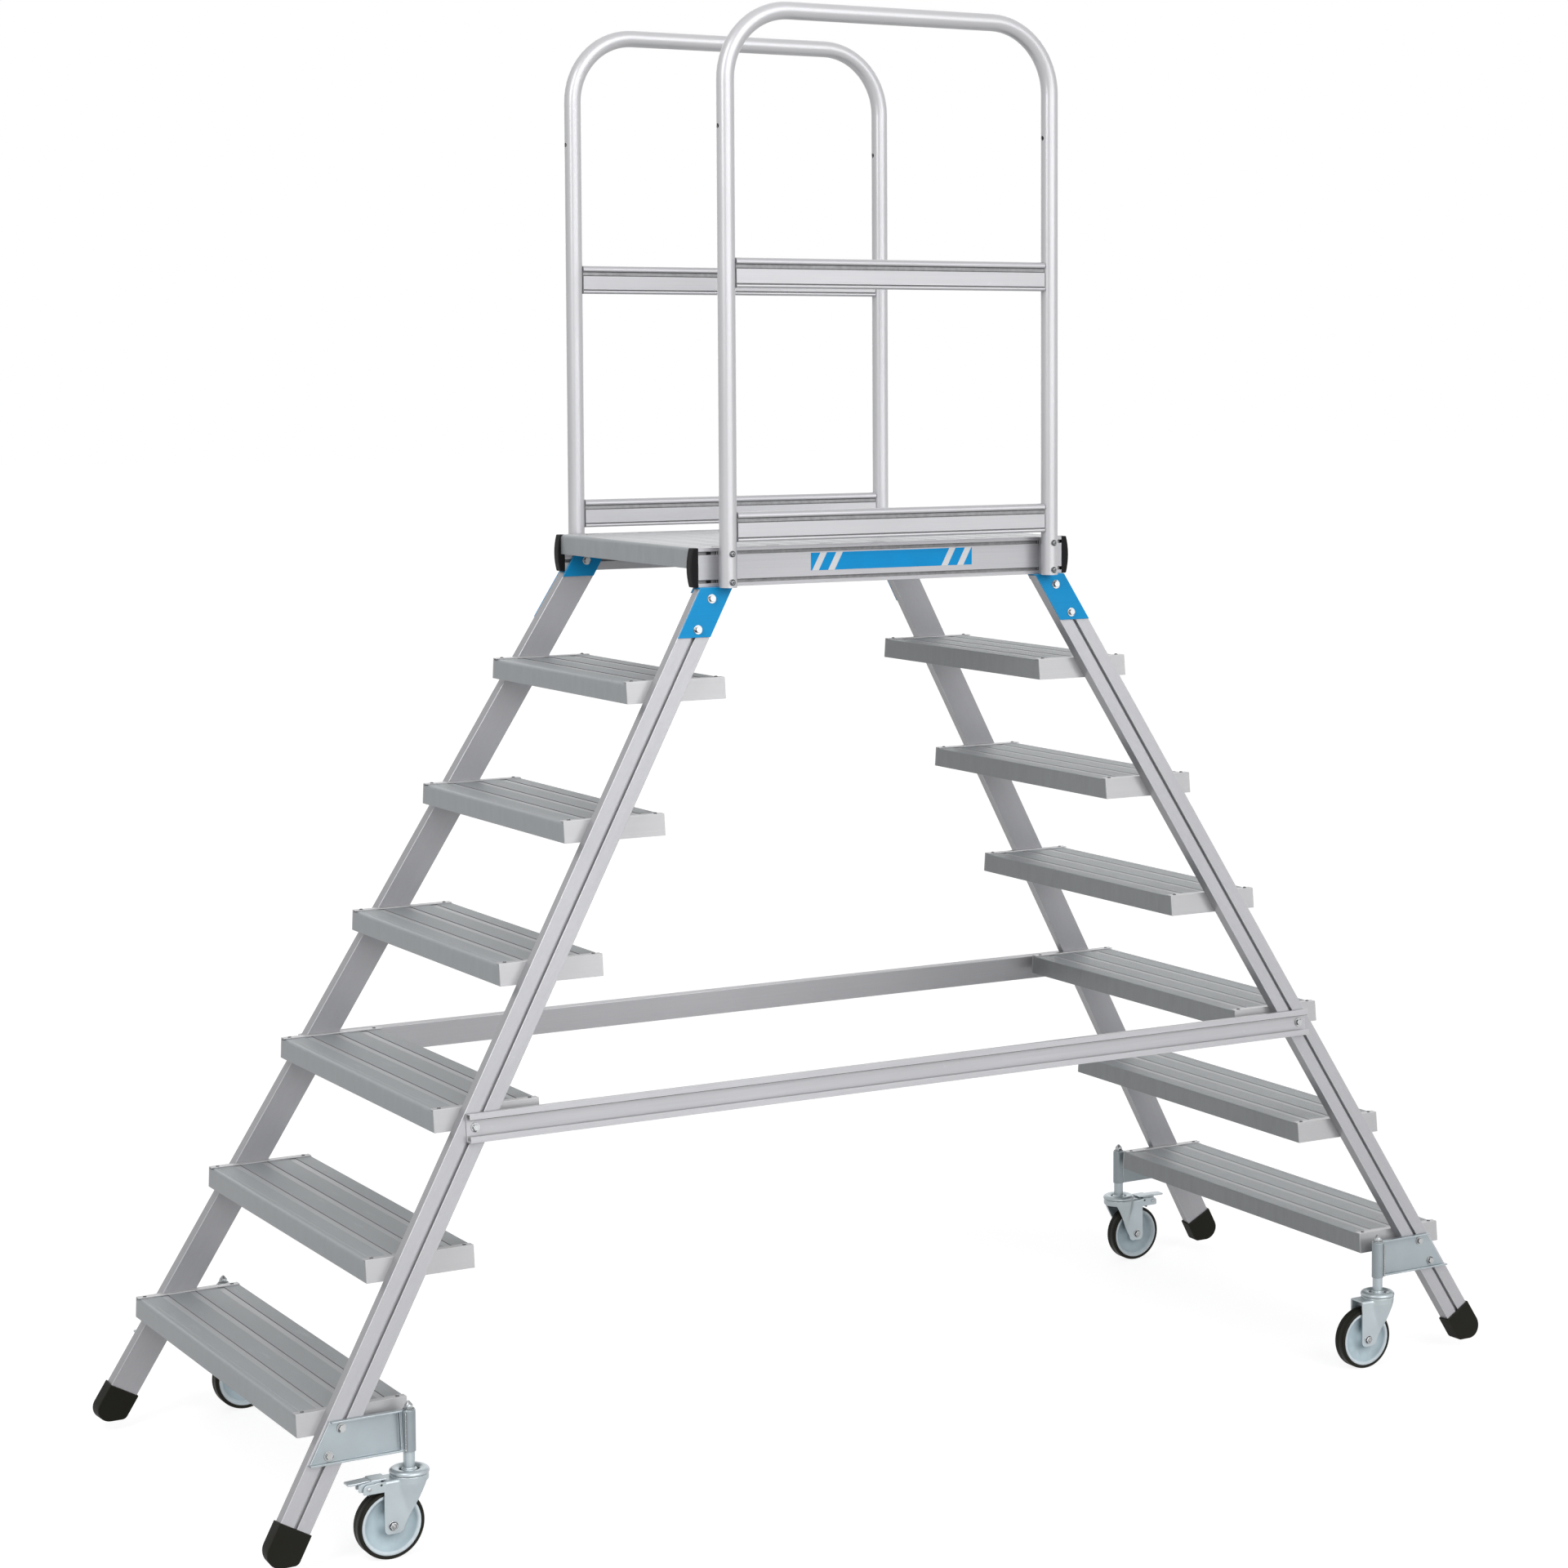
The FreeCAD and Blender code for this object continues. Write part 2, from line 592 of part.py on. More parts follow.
def build_end_plate():
    """Slanted plate with a level flange; its zero is the tread's upper end corner."""
    body = new_body("end_plate_pattern")
    sketch = new_sketch(body, "YZ_Plane", "fold")
    flange, width, drop = "Size.end_flange_thickness", "Size.end_flange_width", "Size.tread_height"
    thick = f"(Size.end_plate_thickness / {FLARE_COS})"
    outline(sketch, [
        (f"-{width}", "0"),
        ("0", "0"),
        (f"{drop} * {FLARE}", f"-{drop}"),
        (f"{drop} * {FLARE} + {thick}", f"-{drop}"),
        (f"{thick} - {flange} * {FLARE}", flange),
        (f"-{width}", flange),
    ])
    pad(body, sketch, "Size.tread_depth")
    holes = new_sketch(body, "XY_Plane", "rivet_holes", "Size.end_flange_thickness")
    for along in (-1, 1):
        x = f"{along} * (Size.tread_depth / 2 - Size.rivet_inset)"
        circle(holes, x, "-Size.end_flange_width / 2", "Size.rivet_diameter / 2")
    drilled = body.newObject("PartDesign::Pocket", f"{body.Name}_drilled")
    drilled.Profile = holes
    drilled.setExpression("Length", "Size.end_flange_thickness")
    return body


def build_rivet():
    """Rivet with its zero on the flange, under the head."""
    body = new_body("rivet_pattern")
    sketch = new_sketch(body, "XZ_Plane", "half")
    shank, head = "Size.rivet_diameter / 2", "Size.rivet_head_diameter / 2"
    foot = "-(Size.end_flange_thickness + Size.tread_wall)"
    outline(sketch, [
        ("0", foot),
        (shank, foot),
        (shank, "0"),
        (head, "0"),
        (f"{shank}", "Size.rivet_head_height"),
        ("0", "Size.rivet_head_height"),
    ])
    revolve(body, sketch, "V_Axis")
    return body


def end_plates_and_rivets():
    """All end plates in one node and all tread rivets in another."""
    plate, rivet = build_end_plate(), build_rivet()
    plates, rivets = [], []
    for number in range(1, int(measure("Size.tread_count")) + 1):
        for end in ENDS.values():
            for side in SIDES.values():
                tag = f"{number}_{end}_{side}".replace("-", "m")
                corner = side_turn(side) * move(y=tread_half_length(number))
                place = tread_place(number, end) * corner
                plates.append(copy_of(plate, f"end_plate_{tag}", place))
                for along in (-1, 1):
                    spot = move(x=f"{along} * (Size.tread_depth / 2 - Size.rivet_inset)",
                                y="-Size.end_flange_width / 2",
                                z="Size.end_flange_thickness")
                    name = f"rivet_{tag}_{along}".replace("-", "m")
                    rivets.append(copy_of(rivet, name, place * spot))
    return group("tread_end_plates", plates), group("tread_rivets", rivets)


def build_flights():
    nodes = []
    for side_name, side, end_name, end in corners_of_stand():
        nodes.append(build_stile(f"stile_{end_name}_{side_name}", side, end))
    for end_name, end in ENDS.items():
        for number in range(1, int(measure("Size.tread_count")) + 1):
            nodes.append(build_tread(f"tread_{end_name}_{number}", number, end))
    nodes.extend(end_plates_and_rivets())
    feet = [build_foot(side, end) for _, side, _, end in corners_of_stand()]
    nodes.append(group("stile_feet", feet))
    return nodes


# Platform

def build_deck():
    body = new_body("platform_deck")
    sketch = new_sketch(body, "XZ_Plane", "profile")
    outline(sketch, nosed_corners("Size.platform_length", True))
    chambers(sketch, "Size.platform_length", DECK_CHAMBERS)
    pad(body, sketch, f"2 * {RAIL_INNER}")
    body.Placement = move(z=PLATFORM_TOP)
    return body


def swapped(corners, offset):
    """Turns slot corners given along a level face into corners up an upright one."""
    return [(f"{offset} + ({depth})", across) for across, depth in corners]


def build_side_rail():
    """Hollow extrusion with two outer T-slots and an inner one, in the rail frame."""
    body = new_body("side_rail_pattern")
    sketch = new_sketch(body, "YZ_Plane", "profile")
    thick, high, wall = "Size.rail_thickness", "Size.rail_height", "Size.rail_wall"
    lower_slot = swapped(slot_corners("Size.rail_slot_inset", -1), thick)[::-1]
    upper_slot = swapped(slot_corners(f"({high} - Size.rail_slot_inset)", -1), thick)[::-1]
    inner_slot = swapped(slot_corners("Size.inner_slot_height", 1), "0")
    loop = [("0", "0"), (thick, "0")] + lower_slot + upper_slot
    outline(sketch, loop + [(thick, high), ("0", high)] + inner_slot)
    floor = f"Size.inner_slot_height + Size.slot_channel / 2 + {wall}"
    ceiling = f"{high} - Size.rail_slot_inset - Size.slot_channel / 2 - {wall}"
    box_outline(sketch, wall, floor, f"{thick} - {wall}", ceiling)
    pad(body, sketch, RAIL_LENGTH)
    return body


def build_end_cap():
    """Plastic cap with a bowed end; its zero is the rail's lower inner corner."""
    body = new_body("end_cap_pattern")
    sketch = new_sketch(body, "XZ_Plane", "side")
    flat, high = "(Size.end_cap_length - Size.end_cap_bow)", "Size.rail_height"
    bow = f"(Size.end_cap_bow / 2 + {high} * {high} / (8 * Size.end_cap_bow))"
    outline(sketch, [("0", "0"), (flat, "0", bow), (flat, high), ("0", high)])
    cap = pad(body, sketch, "Size.rail_thickness", "One side")
    cap.Reversed = True
    return body


def end_cap_place(side, end):
    """The far right cap's place, carried round to the other three rail ends."""
    if side * end > 0:
        return rail_frame(side) * move(x=f"{RAIL_LENGTH} / 2")
    flipped = turn(Vector(0, 0, 1), 180) * move(y="-Size.rail_thickness")
    return rail_frame(side) * move(x=f"-{RAIL_LENGTH} / 2") * flipped


def build_head_bracket(hand):
    """Folded sheet that clamps a stile under the side rail, in the rail frame."""
    body = new_body(f"head_bracket_{'right' if hand > 0 else 'left'}")
    sheet_thickness = "Size.bracket_plate"
    face = f"(Size.stile_thickness / {FLARE_COS})"
    skin = f"({sheet_thickness} / {FLARE_COS})"
    fold = new_sketch(body, "YZ_Plane", "fold")
    outline(fold, [
        (f"-{sheet_thickness}", "-Size.bracket_inner_drop"),
        ("0", "-Size.bracket_inner_drop"),
        ("0", f"-{sheet_thickness}"),
        (f"{face} + {sheet_thickness} * {FLARE}", f"-{sheet_thickness}"),
        (f"{face} + Size.bracket_drop * {FLARE}", "-Size.bracket_drop"),
        (f"{face} + {skin} + Size.bracket_drop * {FLARE}", "-Size.bracket_drop"),
        (f"{face} + {skin}", "0"),
        ("0", "0"),
        ("0", "Size.bracket_inner_rise"),
        (f"-{sheet_thickness}", "Size.bracket_inner_rise"),
    ])
    reach = f"({stile_middle(f'{RAIL_BOTTOM} - Size.bracket_drop')} + {STILE_RUN})"
    pad(body, fold, f"2 * {reach}")
    lean = new_sketch(body, "XZ_Plane", "lean")
    outline(lean, lean_band(hand, f"-2 * {reach}", "-1"))
    outline(lean, lean_band(hand, f"2 * {reach}", "1"))
    pocket_through(body, lean)
    holes = new_sketch(body, "XZ_Plane", "bolt_holes")
    for x, height in head_bolt_spots(hand):
        circle(holes, x, height, BOLT_HOLE_RADIUS)
    pocket_through(body, holes)
    return body


def lean_band(hand, far, edge):
    """What lies beyond one leaning edge of the stile, seen from the side."""
    over = "(Size.bracket_drop + Size.bracket_inner_rise)"
    corners = []
    for height in (f"-{over}", over):
        middle = stile_middle(f"{RAIL_BOTTOM} + ({height})")
        corners.append((f"{hand} * {middle} + {edge} * {STILE_RUN} / 2", height))
    corners += [(far, over), (far, f"-{over}")]
    return corners if edge == "-1" else corners[::-1]


def head_bolt_spots(hand):
    """Bolt holes of a head bracket: two in the stile's slot, one in the rail's."""
    heights = ("-Size.bracket_upper_bolt", "-Size.bracket_lower_bolt", "Size.inner_slot_height")
    for height in heights:
        yield f"{hand} * {stile_middle(f'{RAIL_BOTTOM} + ({height})')}", height


def build_platform():
    rail, cap = build_side_rail(), build_end_cap()
    rails = [copy_of(rail, f"side_rail_{name}", rail_frame(side)) for name, side in SIDES.items()]
    caps, brackets = [], []
    patterns = {hand: build_head_bracket(hand) for hand in (-1, 1)}
    for side_name, side, end_name, end in corners_of_stand():
        corner = f"{end_name}_{side_name}"
        caps.append(copy_of(cap, f"end_cap_{corner}", end_cap_place(side, end)))
        pattern = patterns[side * end]
        brackets.append(copy_of(pattern, f"head_bracket_{corner}", rail_frame(side)))
    return [
        build_deck(),
        group("platform_side_rails", rails),
        group("platform_end_caps", caps),
        group("head_brackets", brackets),
    ]


# Guard rails and struts

def build_handrail(label, side):
    """Tube bent into a hoop, with chain holes and screw holes in its posts."""
    body = new_body(label)
    half, bend = "(Size.post_spacing / 2)", "Size.handrail_bend"
    top = "(Size.rail_height + Size.handrail_height - Size.handrail_diameter / 2)"
    path = new_sketch(body, "XZ_Plane", "path")
    hoop(path, half, top, bend)
    section = new_sketch(body, "XY_Plane", "section")
    circle(section, f"-{half}", "0", "Size.handrail_diameter / 2")
    circle(section, f"-{half}", "0", "Size.handrail_diameter / 2 - Size.handrail_wall")
    tube = body.newObject("PartDesign::AdditivePipe", f"{body.Name}_tube")
    tube.Profile = section
    tube.Spine = (path, [])
    chain = new_sketch(body, "YZ_Plane", "chain_holes")
    circle(chain, "0", "Size.rail_height + Size.chain_hole_height", "Size.chain_hole_diameter / 2")
    pocket_through(body, chain)
    screws = new_sketch(body, "XZ_Plane", "screw_holes")
    for sign in (-1, 1):
        for height in post_screw_heights():
            circle(screws, f"{sign} * {half}", height, BOLT_HOLE_RADIUS)
    pocket_through(body, screws)
    body.Placement = side_turn(side) * move(y=POST_OFFSET, z=RAIL_BOTTOM)
    return body


def hoop(sketch, half, top, bend):
    """Two uprights and a level bar, joined by quarter bends, as one open path."""
    spots = [
        (f"-{half}", "0"),
        (f"-{half}", f"{top} - {bend}"),
        (f"-{half} + {bend}", top),
        (f"{half} - {bend}", top),
        (half, f"{top} - {bend}"),
        (half, "0"),
    ]
    points = [Vector(measure(x), measure(y), 0) for x, y in spots]
    for index in range(len(points) - 1):
        start, end = points[index], points[index + 1]
        if index in (1, 3):
            sketch.addGeometry(arc_between(end, start, measure(bend)), False)
        else:
            sketch.addGeometry(Part.LineSegment(start, end), False)
    for index in range(len(points) - 1):
        begin, finish = (2, 1) if index in (1, 3) else (1, 2)
        hold_point(sketch, index, begin, spots[index])
        if index in (1, 3):
            hold(sketch, Sketcher.Constraint("Radius", index, measure(bend)), bend)
        if index < len(points) - 2:
            next_begin = 2 if index + 1 in (1, 3) else 1
            rule = Sketcher.Constraint("Coincident", index, finish, index + 1, next_begin)
            sketch.addConstraint(rule)
    hold_point(sketch, len(points) - 2, 2, spots[-1])


def post_screw_heights():
    """Screws of a post, in the side rail's outer T-slots, above the rail's lower edge."""
    return ("Size.rail_slot_inset", "Size.rail_height - Size.rail_slot_inset")


def build_saddle():
    """Block between side rail and post, hollowed to the tube; zero at the tube's axis."""
    body = new_body("saddle_pattern")
    radius = "(Size.handrail_diameter / 2)"
    sketch = new_sketch(body, "XY_Plane", "plan")
    back = f"-({radius} + Size.post_gap)"
    half = "(Size.saddle_width / 2)"
    box_outline(sketch, f"-{half}", back, half, f"-{radius} * cos(asin({half} / {radius}))")
    pad(body, sketch, "Size.rail_height", "One side")
    cylinder(body, "tube_seat", radius, "Size.rail_height", Placement(), cut=True)
    screws = new_sketch(body, "XZ_Plane", "screw_holes")
    for height in post_screw_heights():
        circle(screws, "0", height, BOLT_HOLE_RADIUS)
    pocket_through(body, screws)
    return body


def post_places():
    """Frame at the foot of every post's axis, with Y outward."""
    for side_name, side in SIDES.items():
        for sign in (-1, 1):
            place = side_turn(side) * move(x=f"{sign} * Size.post_spacing / 2",
                                           y=POST_OFFSET, z=RAIL_BOTTOM)
            yield f"{side_name}_{sign}".replace("-", "m"), place


def build_guard_rail():
    """Beaded hollow profile that spans between two posts, about its own middle."""
    body = new_body("guard_rail_pattern")
    half, top = "(Size.guard_rail_thickness / 2)", "(Size.guard_rail_height / 2)"
    bead = f"({top} - Size.guard_rail_bead)"
    neck = f"({half} - Size.guard_rail_groove_depth)"
    groove = f"({bead} - Size.guard_rail_groove)"
    crown = f"({top} - {half} / 2)"
    sketch = new_sketch(body, "YZ_Plane", "profile")
    arc = f"({half} * {half} + ({half} / 2) * ({half} / 2)) / (2 * ({half} / 2))"
    lower_right = [(half, f"-{crown}"), (half, f"-{bead}"), (neck, f"-{bead}"), (neck, f"-{groove}")]
    right = lower_right + [(half, f"-{groove}"), (half, groove)]
    right += [(neck, groove), (neck, bead), (half, bead), (half, crown, arc)]
    left = [(f"-({x[0]})", f"-({x[1]})") + tuple(x[2:]) for x in right]
    outline(sketch, right + left)
    wall = "Size.guard_rail_wall"
    inner = f"({neck} - {wall})"
    box_outline(sketch, f"-{inner}", f"-({bead})", inner, bead)
    pad(body, sketch, "Size.post_spacing - Size.handrail_diameter")
    return body


def build_strut():
    """Channel that ties the two flights, open outward, in the face frame."""
    body = new_body("strut_pattern")
    half, wall, deep = "(Size.strut_height / 2)", "Size.strut_wall", "Size.strut_depth"
    sketch = new_sketch(body, "YZ_Plane", "channel")
    outline(sketch, [
        ("0", f"-{half}"),
        (deep, f"-{half}"),
        (deep, f"-{half} + {wall}"),
        (wall, f"-{half} + {wall}"),
        (wall, f"{half} - {wall}"),
        (deep, f"{half} - {wall}"),
        (deep, half),
        ("0", half),
    ])
    bolt_at = stile_middle("Size.strut_centre")
    pad(body, sketch, f"2 * ({bolt_at} + Size.strut_overhang)")
    holes = new_sketch(body, "XZ_Plane", "bolt_holes")
    for sign in (-1, 1):
        circle(holes, f"{sign} * {bolt_at}", "0", BOLT_HOLE_RADIUS)
    pocket_through(body, holes)
    return body


def build_guards_and_struts():
    nodes = [build_handrail(f"handrail_{name}", side) for name, side in SIDES.items()]
    saddle, rail, strut = build_saddle(), build_guard_rail(), build_strut()
    saddles = [copy_of(saddle, f"saddle_{tag}", place) for tag, place in post_places()]
    knee_rails, toe_boards, struts = [], [], []
    for name, side in SIDES.items():
        knee = side_turn(side) * move(y=POST_OFFSET, z=f"{PLATFORM_TOP} + Size.knee_rail_centre")
        toe = side_turn(side) * move(y=POST_OFFSET, z=f"{PLATFORM_TOP} + Size.toe_board_centre")
        tie = face_frame(side) * move(z=down_face("Size.strut_centre"))
        knee_rails.append(copy_of(rail, f"knee_rail_{name}", knee))
        toe_boards.append(copy_of(rail, f"toe_board_{name}", toe))
        struts.append(copy_of(strut, f"strut_{name}", tie))
    nodes.append(group("post_saddles", saddles))
    nodes.append(group("knee_rails", knee_rails))
    nodes.append(group("toe_boards", toe_boards))
    nodes.append(group("struts", struts))
    return nodes


# Bolts and nuts of the frame

OUTWARD = Rotation(Vector(1, 0, 0), -90)    # turns a bolt's axis from Z to Y


def build_bolt(label, shank_length):
    """Hexagon bolt with its washer, zero at the seat, head along +Z."""
    body = new_body(label)
    thin = "Size.washer_thickness"
    down = Placement(Vector(0, 0, -measure(shank_length)), Rotation())
    cylinder(body, "washer", "Size.washer_diameter / 2", thin, Placement())
    hexagon(body, "head", "Size.bolt_head_across", "Size.bolt_head_height", move(z=thin))
    cylinder(body, "shank", "Size.bolt_diameter / 2", shank_length, down)
    return body


def build_post_screw():
    """Domed screw that passes a post and its saddle into the side rail's T-slot."""
    body = new_body("post_screw_pattern")
    reach = f"(Size.handrail_diameter + Size.post_gap + Size.slot_lip + Size.slot_nut_height)"
    sketch = new_sketch(body, "XZ_Plane", "half")
    shank, head, dome = "Size.bolt_diameter / 2", "Size.bolt_head_across / 2", "Size.bolt_head_height"
    outline(sketch, [
        ("0", f"-{reach}"),
        (shank, f"-{reach}"),
        (shank, "0"),
        (head, "0"),
        (head, f"{dome} / 3"),
        (f"{head} / 2", dome),
        ("0", dome),
    ])
    revolve(body, sketch, "V_Axis")
    return body


def build_slot_nut():
    """Block in a T-slot, zero under the slot's lips, long along X."""
    body = new_body("slot_nut_pattern")
    sketch = new_sketch(body, "XY_Plane", "plan")
    half_width = "(Size.slot_channel - Size.slot_nut_play) / 2"
    half_length = "Size.slot_nut_length / 2"
    box_outline(sketch, f"-{half_length}", f"-{half_width}", half_length, half_width)
    circle(sketch, "0", "0", "Size.bolt_diameter / 2")
    block = pad(body, sketch, "Size.slot_nut_height", "One side")
    block.Reversed = True
    return body


def slotted(place, plate):
    """Places of a bolt on a plate and of the nut behind it, on a face at place."""
    bolt = place * Placement(Vector(0, measure(plate), 0), OUTWARD)
    nut = place * Placement(Vector(0, -measure("Size.slot_lip"), 0), OUTWARD)
    return bolt, nut


def stile_bolt_places():
    """Bolt and nut places on the mid-depth slot of every stile."""
    upper, lower = "Size.bracket_upper_bolt", "Size.bracket_lower_bolt"
    base = "Size.castor_bracket_base"
    spots = [
        (f"{RAIL_BOTTOM} - {upper}", "Size.bracket_plate"),
        (f"{RAIL_BOTTOM} - {lower}", "Size.bracket_plate"),
        ("Size.strut_centre", "Size.strut_wall"),
        (f"{base} + Size.castor_lower_bolt", "Size.castor_bracket_wall"),
        (f"{base} + Size.castor_upper_bolt", "Size.castor_bracket_wall"),
    ]
    for _, side, _, end in corners_of_stand():
        for height, plate in spots:
            yield slotted(stile_frame(side, end) * move(z=along_stile(height)) * slot_turn(), plate)


def slot_turn():
    """Lays a nut's long side along a stile."""
    return turn(Vector(0, 1, 0), 90)


def rail_bolt_places():
    """Bolt and nut places on the inner slot of each side rail, heads inward."""
    inward = turn(Vector(0, 0, 1), 180)
    for _, side, _, end in corners_of_stand():
        along = f"{side * end} * {stile_middle(f'{RAIL_BOTTOM} + Size.inner_slot_height')}"
        face = rail_frame(side) * move(x=along, z="Size.inner_slot_height") * inward
        yield slotted(face, "Size.bracket_plate")


def build_fasteners():
    bolt = build_bolt("bolt_pattern", "Size.bolt_length")
    screw = build_post_screw()
    nut = build_slot_nut()
    members = []
    for index, (bolt_place, nut_place) in enumerate([*stile_bolt_places(), *rail_bolt_places()]):
        members.append(copy_of(bolt, f"bolt_{index}", bolt_place))
        members.append(copy_of(nut, f"slot_nut_{index}", nut_place))
    for tag, place in post_places():
        for index, height in enumerate(post_screw_heights()):
            level = place * move(z=height)
            face = level * Placement(Vector(0, measure("Size.handrail_diameter / 2"), 0), OUTWARD)
            rail_face = f"-(Size.handrail_diameter / 2 + Size.post_gap + Size.slot_lip)"
            behind = level * Placement(Vector(0, measure(rail_face), 0), OUTWARD)
            members.append(copy_of(screw, f"post_screw_{tag}_{index}", face))
            members.append(copy_of(nut, f"post_nut_{tag}_{index}", behind))
    return [group("frame_bolts", members)]


# Castors

def build_castor_bracket(label, side, end):
    """Channel on the stile with an upright tube that guides the castor's stem."""
    body = new_body(label)
    hand = side * end
    place = face_frame(side)
    low, high = "Size.castor_bracket_base", "(Size.castor_bracket_base + Size.castor_bracket_height)"
    wall, flange = "Size.castor_bracket_wall", "Size.castor_bracket_flange"
    inner_end = f"({CASTOR_ALONG} + Size.castor_tube_diameter / 2 - Size.channel_into_tube)"
    front = [f"({stile_middle(level)} + {STILE_RUN} / 2 - Size.castor_bracket_inset)"
             for level in (low, high)]
    web = new_sketch(body, "XZ_Plane", "web")
    corners = [
        (f"{hand} * {inner_end}", down_face(low)),
        (f"{hand} * {front[0]}", down_face(low)),
        (f"{hand} * {front[1]}", down_face(high)),
        (f"{hand} * {inner_end}", down_face(high)),
    ]
    outline(web, corners if hand > 0 else corners[::-1])
    web_pad = pad(body, web, wall, "One side")
    web_pad.Reversed = True
    fold = new_sketch(body, "XZ_Plane", "fold")
    fold_end = f"({inner_end} + Size.channel_into_tube + {wall})"
    left, right = sorted([f"{hand} * {inner_end}", f"{hand} * {fold_end}"], key=measure)
    box_outline(fold, left, down_face(low), right, down_face(high))
    fold_pad = pad(body, fold, "Size.castor_standoff", "One side")
    fold_pad.Reversed = True
    for name, level, inward, reach in (("lower", low, 1, front[0]), ("upper", high, -1, front[1])):
        strip = new_sketch(body, "XZ_Plane", name)
        edge = down_face(level)
        inside = f"{edge} + {inward} * {wall}"
        lower, upper = (edge, inside) if inward > 0 else (inside, edge)
        corners = [
            (f"{hand} * {inner_end}", lower),
            (f"{hand} * {reach}", lower),
            (f"{hand} * {reach}", upper),
            (f"{hand} * {inner_end}", upper),
        ]
        outline(strip, corners if hand > 0 else corners[::-1])
        strip_pad = pad(body, strip, f"{wall} + {flange}", "One side")
        strip_pad.Reversed = True
    axis = place.inverse() * castor_frame(side, end)
    tube_place = axis * move(z=low)
    cylinder(body, "tube", "Size.castor_tube_diameter / 2", "Size.castor_tube_height", tube_place)
    bore = "Size.stem_diameter / 2 + Size.running_fit"
    depth = "Size.castor_tube_height - Size.castor_plug"
    start = axis * move(z=f"{low} - {CLEAR_OF_PART}")
    cylinder(body, "bore", bore, f"{depth} + {CLEAR_OF_PART}", start, cut=True)
    rod_bore = "Size.rod_diameter / 2 + Size.running_fit"
    length = f"Size.castor_tube_height + {CLEAR_OF_PART}"
    cylinder(body, "rod_bore", rod_bore, length, tube_place, cut=True)
    holes = new_sketch(body, "XZ_Plane", "bolt_holes")
    for height in (f"{low} + Size.castor_lower_bolt", f"{low} + Size.castor_upper_bolt"):
        circle(holes, f"{hand} * {stile_middle(height)}", down_face(height), BOLT_HOLE_RADIUS)
    pocket_through(body, holes)
    body.Placement = place
    return body


def build_stem():
    """Stem with its rod, the flange in the fork head and the riveted kingpin."""
    body = new_body("stem_pattern")
    sketch = new_sketch(body, "XZ_Plane", "half")
    pin, pin_head = "Size.kingpin_diameter / 2", "Size.kingpin_head_diameter / 2"
    head_top = f"({CROWN_BASE} - Size.turning_gap)"
    head_base = f"({head_top} - Size.kingpin_head_height)"
    race_top = f"({RACE_BASE} + Size.race_thickness)"
    rod_top = f"({STOP_BASE} + Size.stop_washer_thickness + Size.stop_nut_height)"
    outline(sketch, [
        ("0", head_base),
        (pin_head, head_base),
        (pin_head, head_top),
        (pin, head_top),
        (pin, RACE_BASE),
        ("Size.race_diameter / 2", RACE_BASE),
        ("Size.race_diameter / 2", race_top),
        ("Size.stem_diameter / 2", race_top),
        ("Size.stem_diameter / 2", SHOULDER),
        ("Size.rod_diameter / 2", SHOULDER),
        ("Size.rod_diameter / 2", rod_top),
        ("0", rod_top),
    ])
    revolve(body, sketch, "V_Axis")
    return body


def build_stop_nut():
    """Washer and domed nut on the rod, which stop the stem sliding out."""
    body = new_body("stop_nut_pattern")
    washer, tall = "Size.stop_washer_thickness", "Size.stop_nut_height"
    base = move(z=STOP_BASE)
    cylinder(body, "washer", "Size.stop_washer_diameter / 2", washer, base)
    hexagon(body, "nut", "Size.stop_nut_across", tall, move(z=f"{STOP_BASE} + {washer}"))
    dome = body.newObject("PartDesign::AdditiveSphere", f"{body.Name}_dome")
    dome.setExpression("Radius", "Size.stop_nut_dome")
    dome.Placement = move(z=f"{STOP_BASE} + {washer} + {tall} - Size.stop_nut_dome_depth")
    bore = f"{washer} + {tall}"
    cylinder(body, "thread", "Size.rod_diameter / 2", bore, base, cut=True)
    return body


def build_spring():
    """Open coil on the rod, between the stem's shoulder and the tube's plug."""
    body = new_body("spring_pattern")
    sketch = new_sketch(body, "XZ_Plane", "wire")
    radius = "(Size.spring_diameter / 2 - Size.spring_wire / 2)"
    circle(sketch, radius, f"{SHOULDER} + Size.spring_wire / 2", "Size.spring_wire / 2")
    coil = body.newObject("PartDesign::AdditiveHelix", f"{body.Name}_coil")
    coil.Profile = sketch
    coil.ReferenceAxis = (sketch, ["V_Axis"])
    coil.Mode = "height-turns-angle"
    room = f"{TUBE_TOP} - Size.castor_plug - {SHOULDER} - Size.castor_stop_gap"
    coil.setExpression("Height", f"{room} - Size.spring_wire")
    coil.Turns = SPRING_TURNS
    return body


def leg_corners(braked):
    """Side view of a fork leg: round the axle below, under the head above."""
    axle, boss = "Size.wheel_trail", "Size.fork_boss_radius"
    centre, top = "Size.wheel_diameter / 2", f"({CROWN_BASE} + Size.fork_plate)"
    corners = [
        (f"{axle} - {boss}", centre, boss),
        (axle, f"{centre} - {boss}", boss),
        (f"{axle} + {boss}", centre),
    ]
    if braked:
        margin, hinge = "Size.pedal_ear_margin", "Size.pedal_hinge_height"
        ear = f"(Size.pedal_hinge_trail + {margin})"
        corners += [
            (f"{axle} + {boss}", f"{hinge} - {margin}"),
            (ear, f"{hinge} - {margin}"),
            (ear, f"{hinge} + {margin}"),
            (f"{axle} + {boss}", f"{hinge} + {margin}"),
        ]
    return corners + [(f"{axle} + {boss}", top), ("-Size.fork_front", top)]


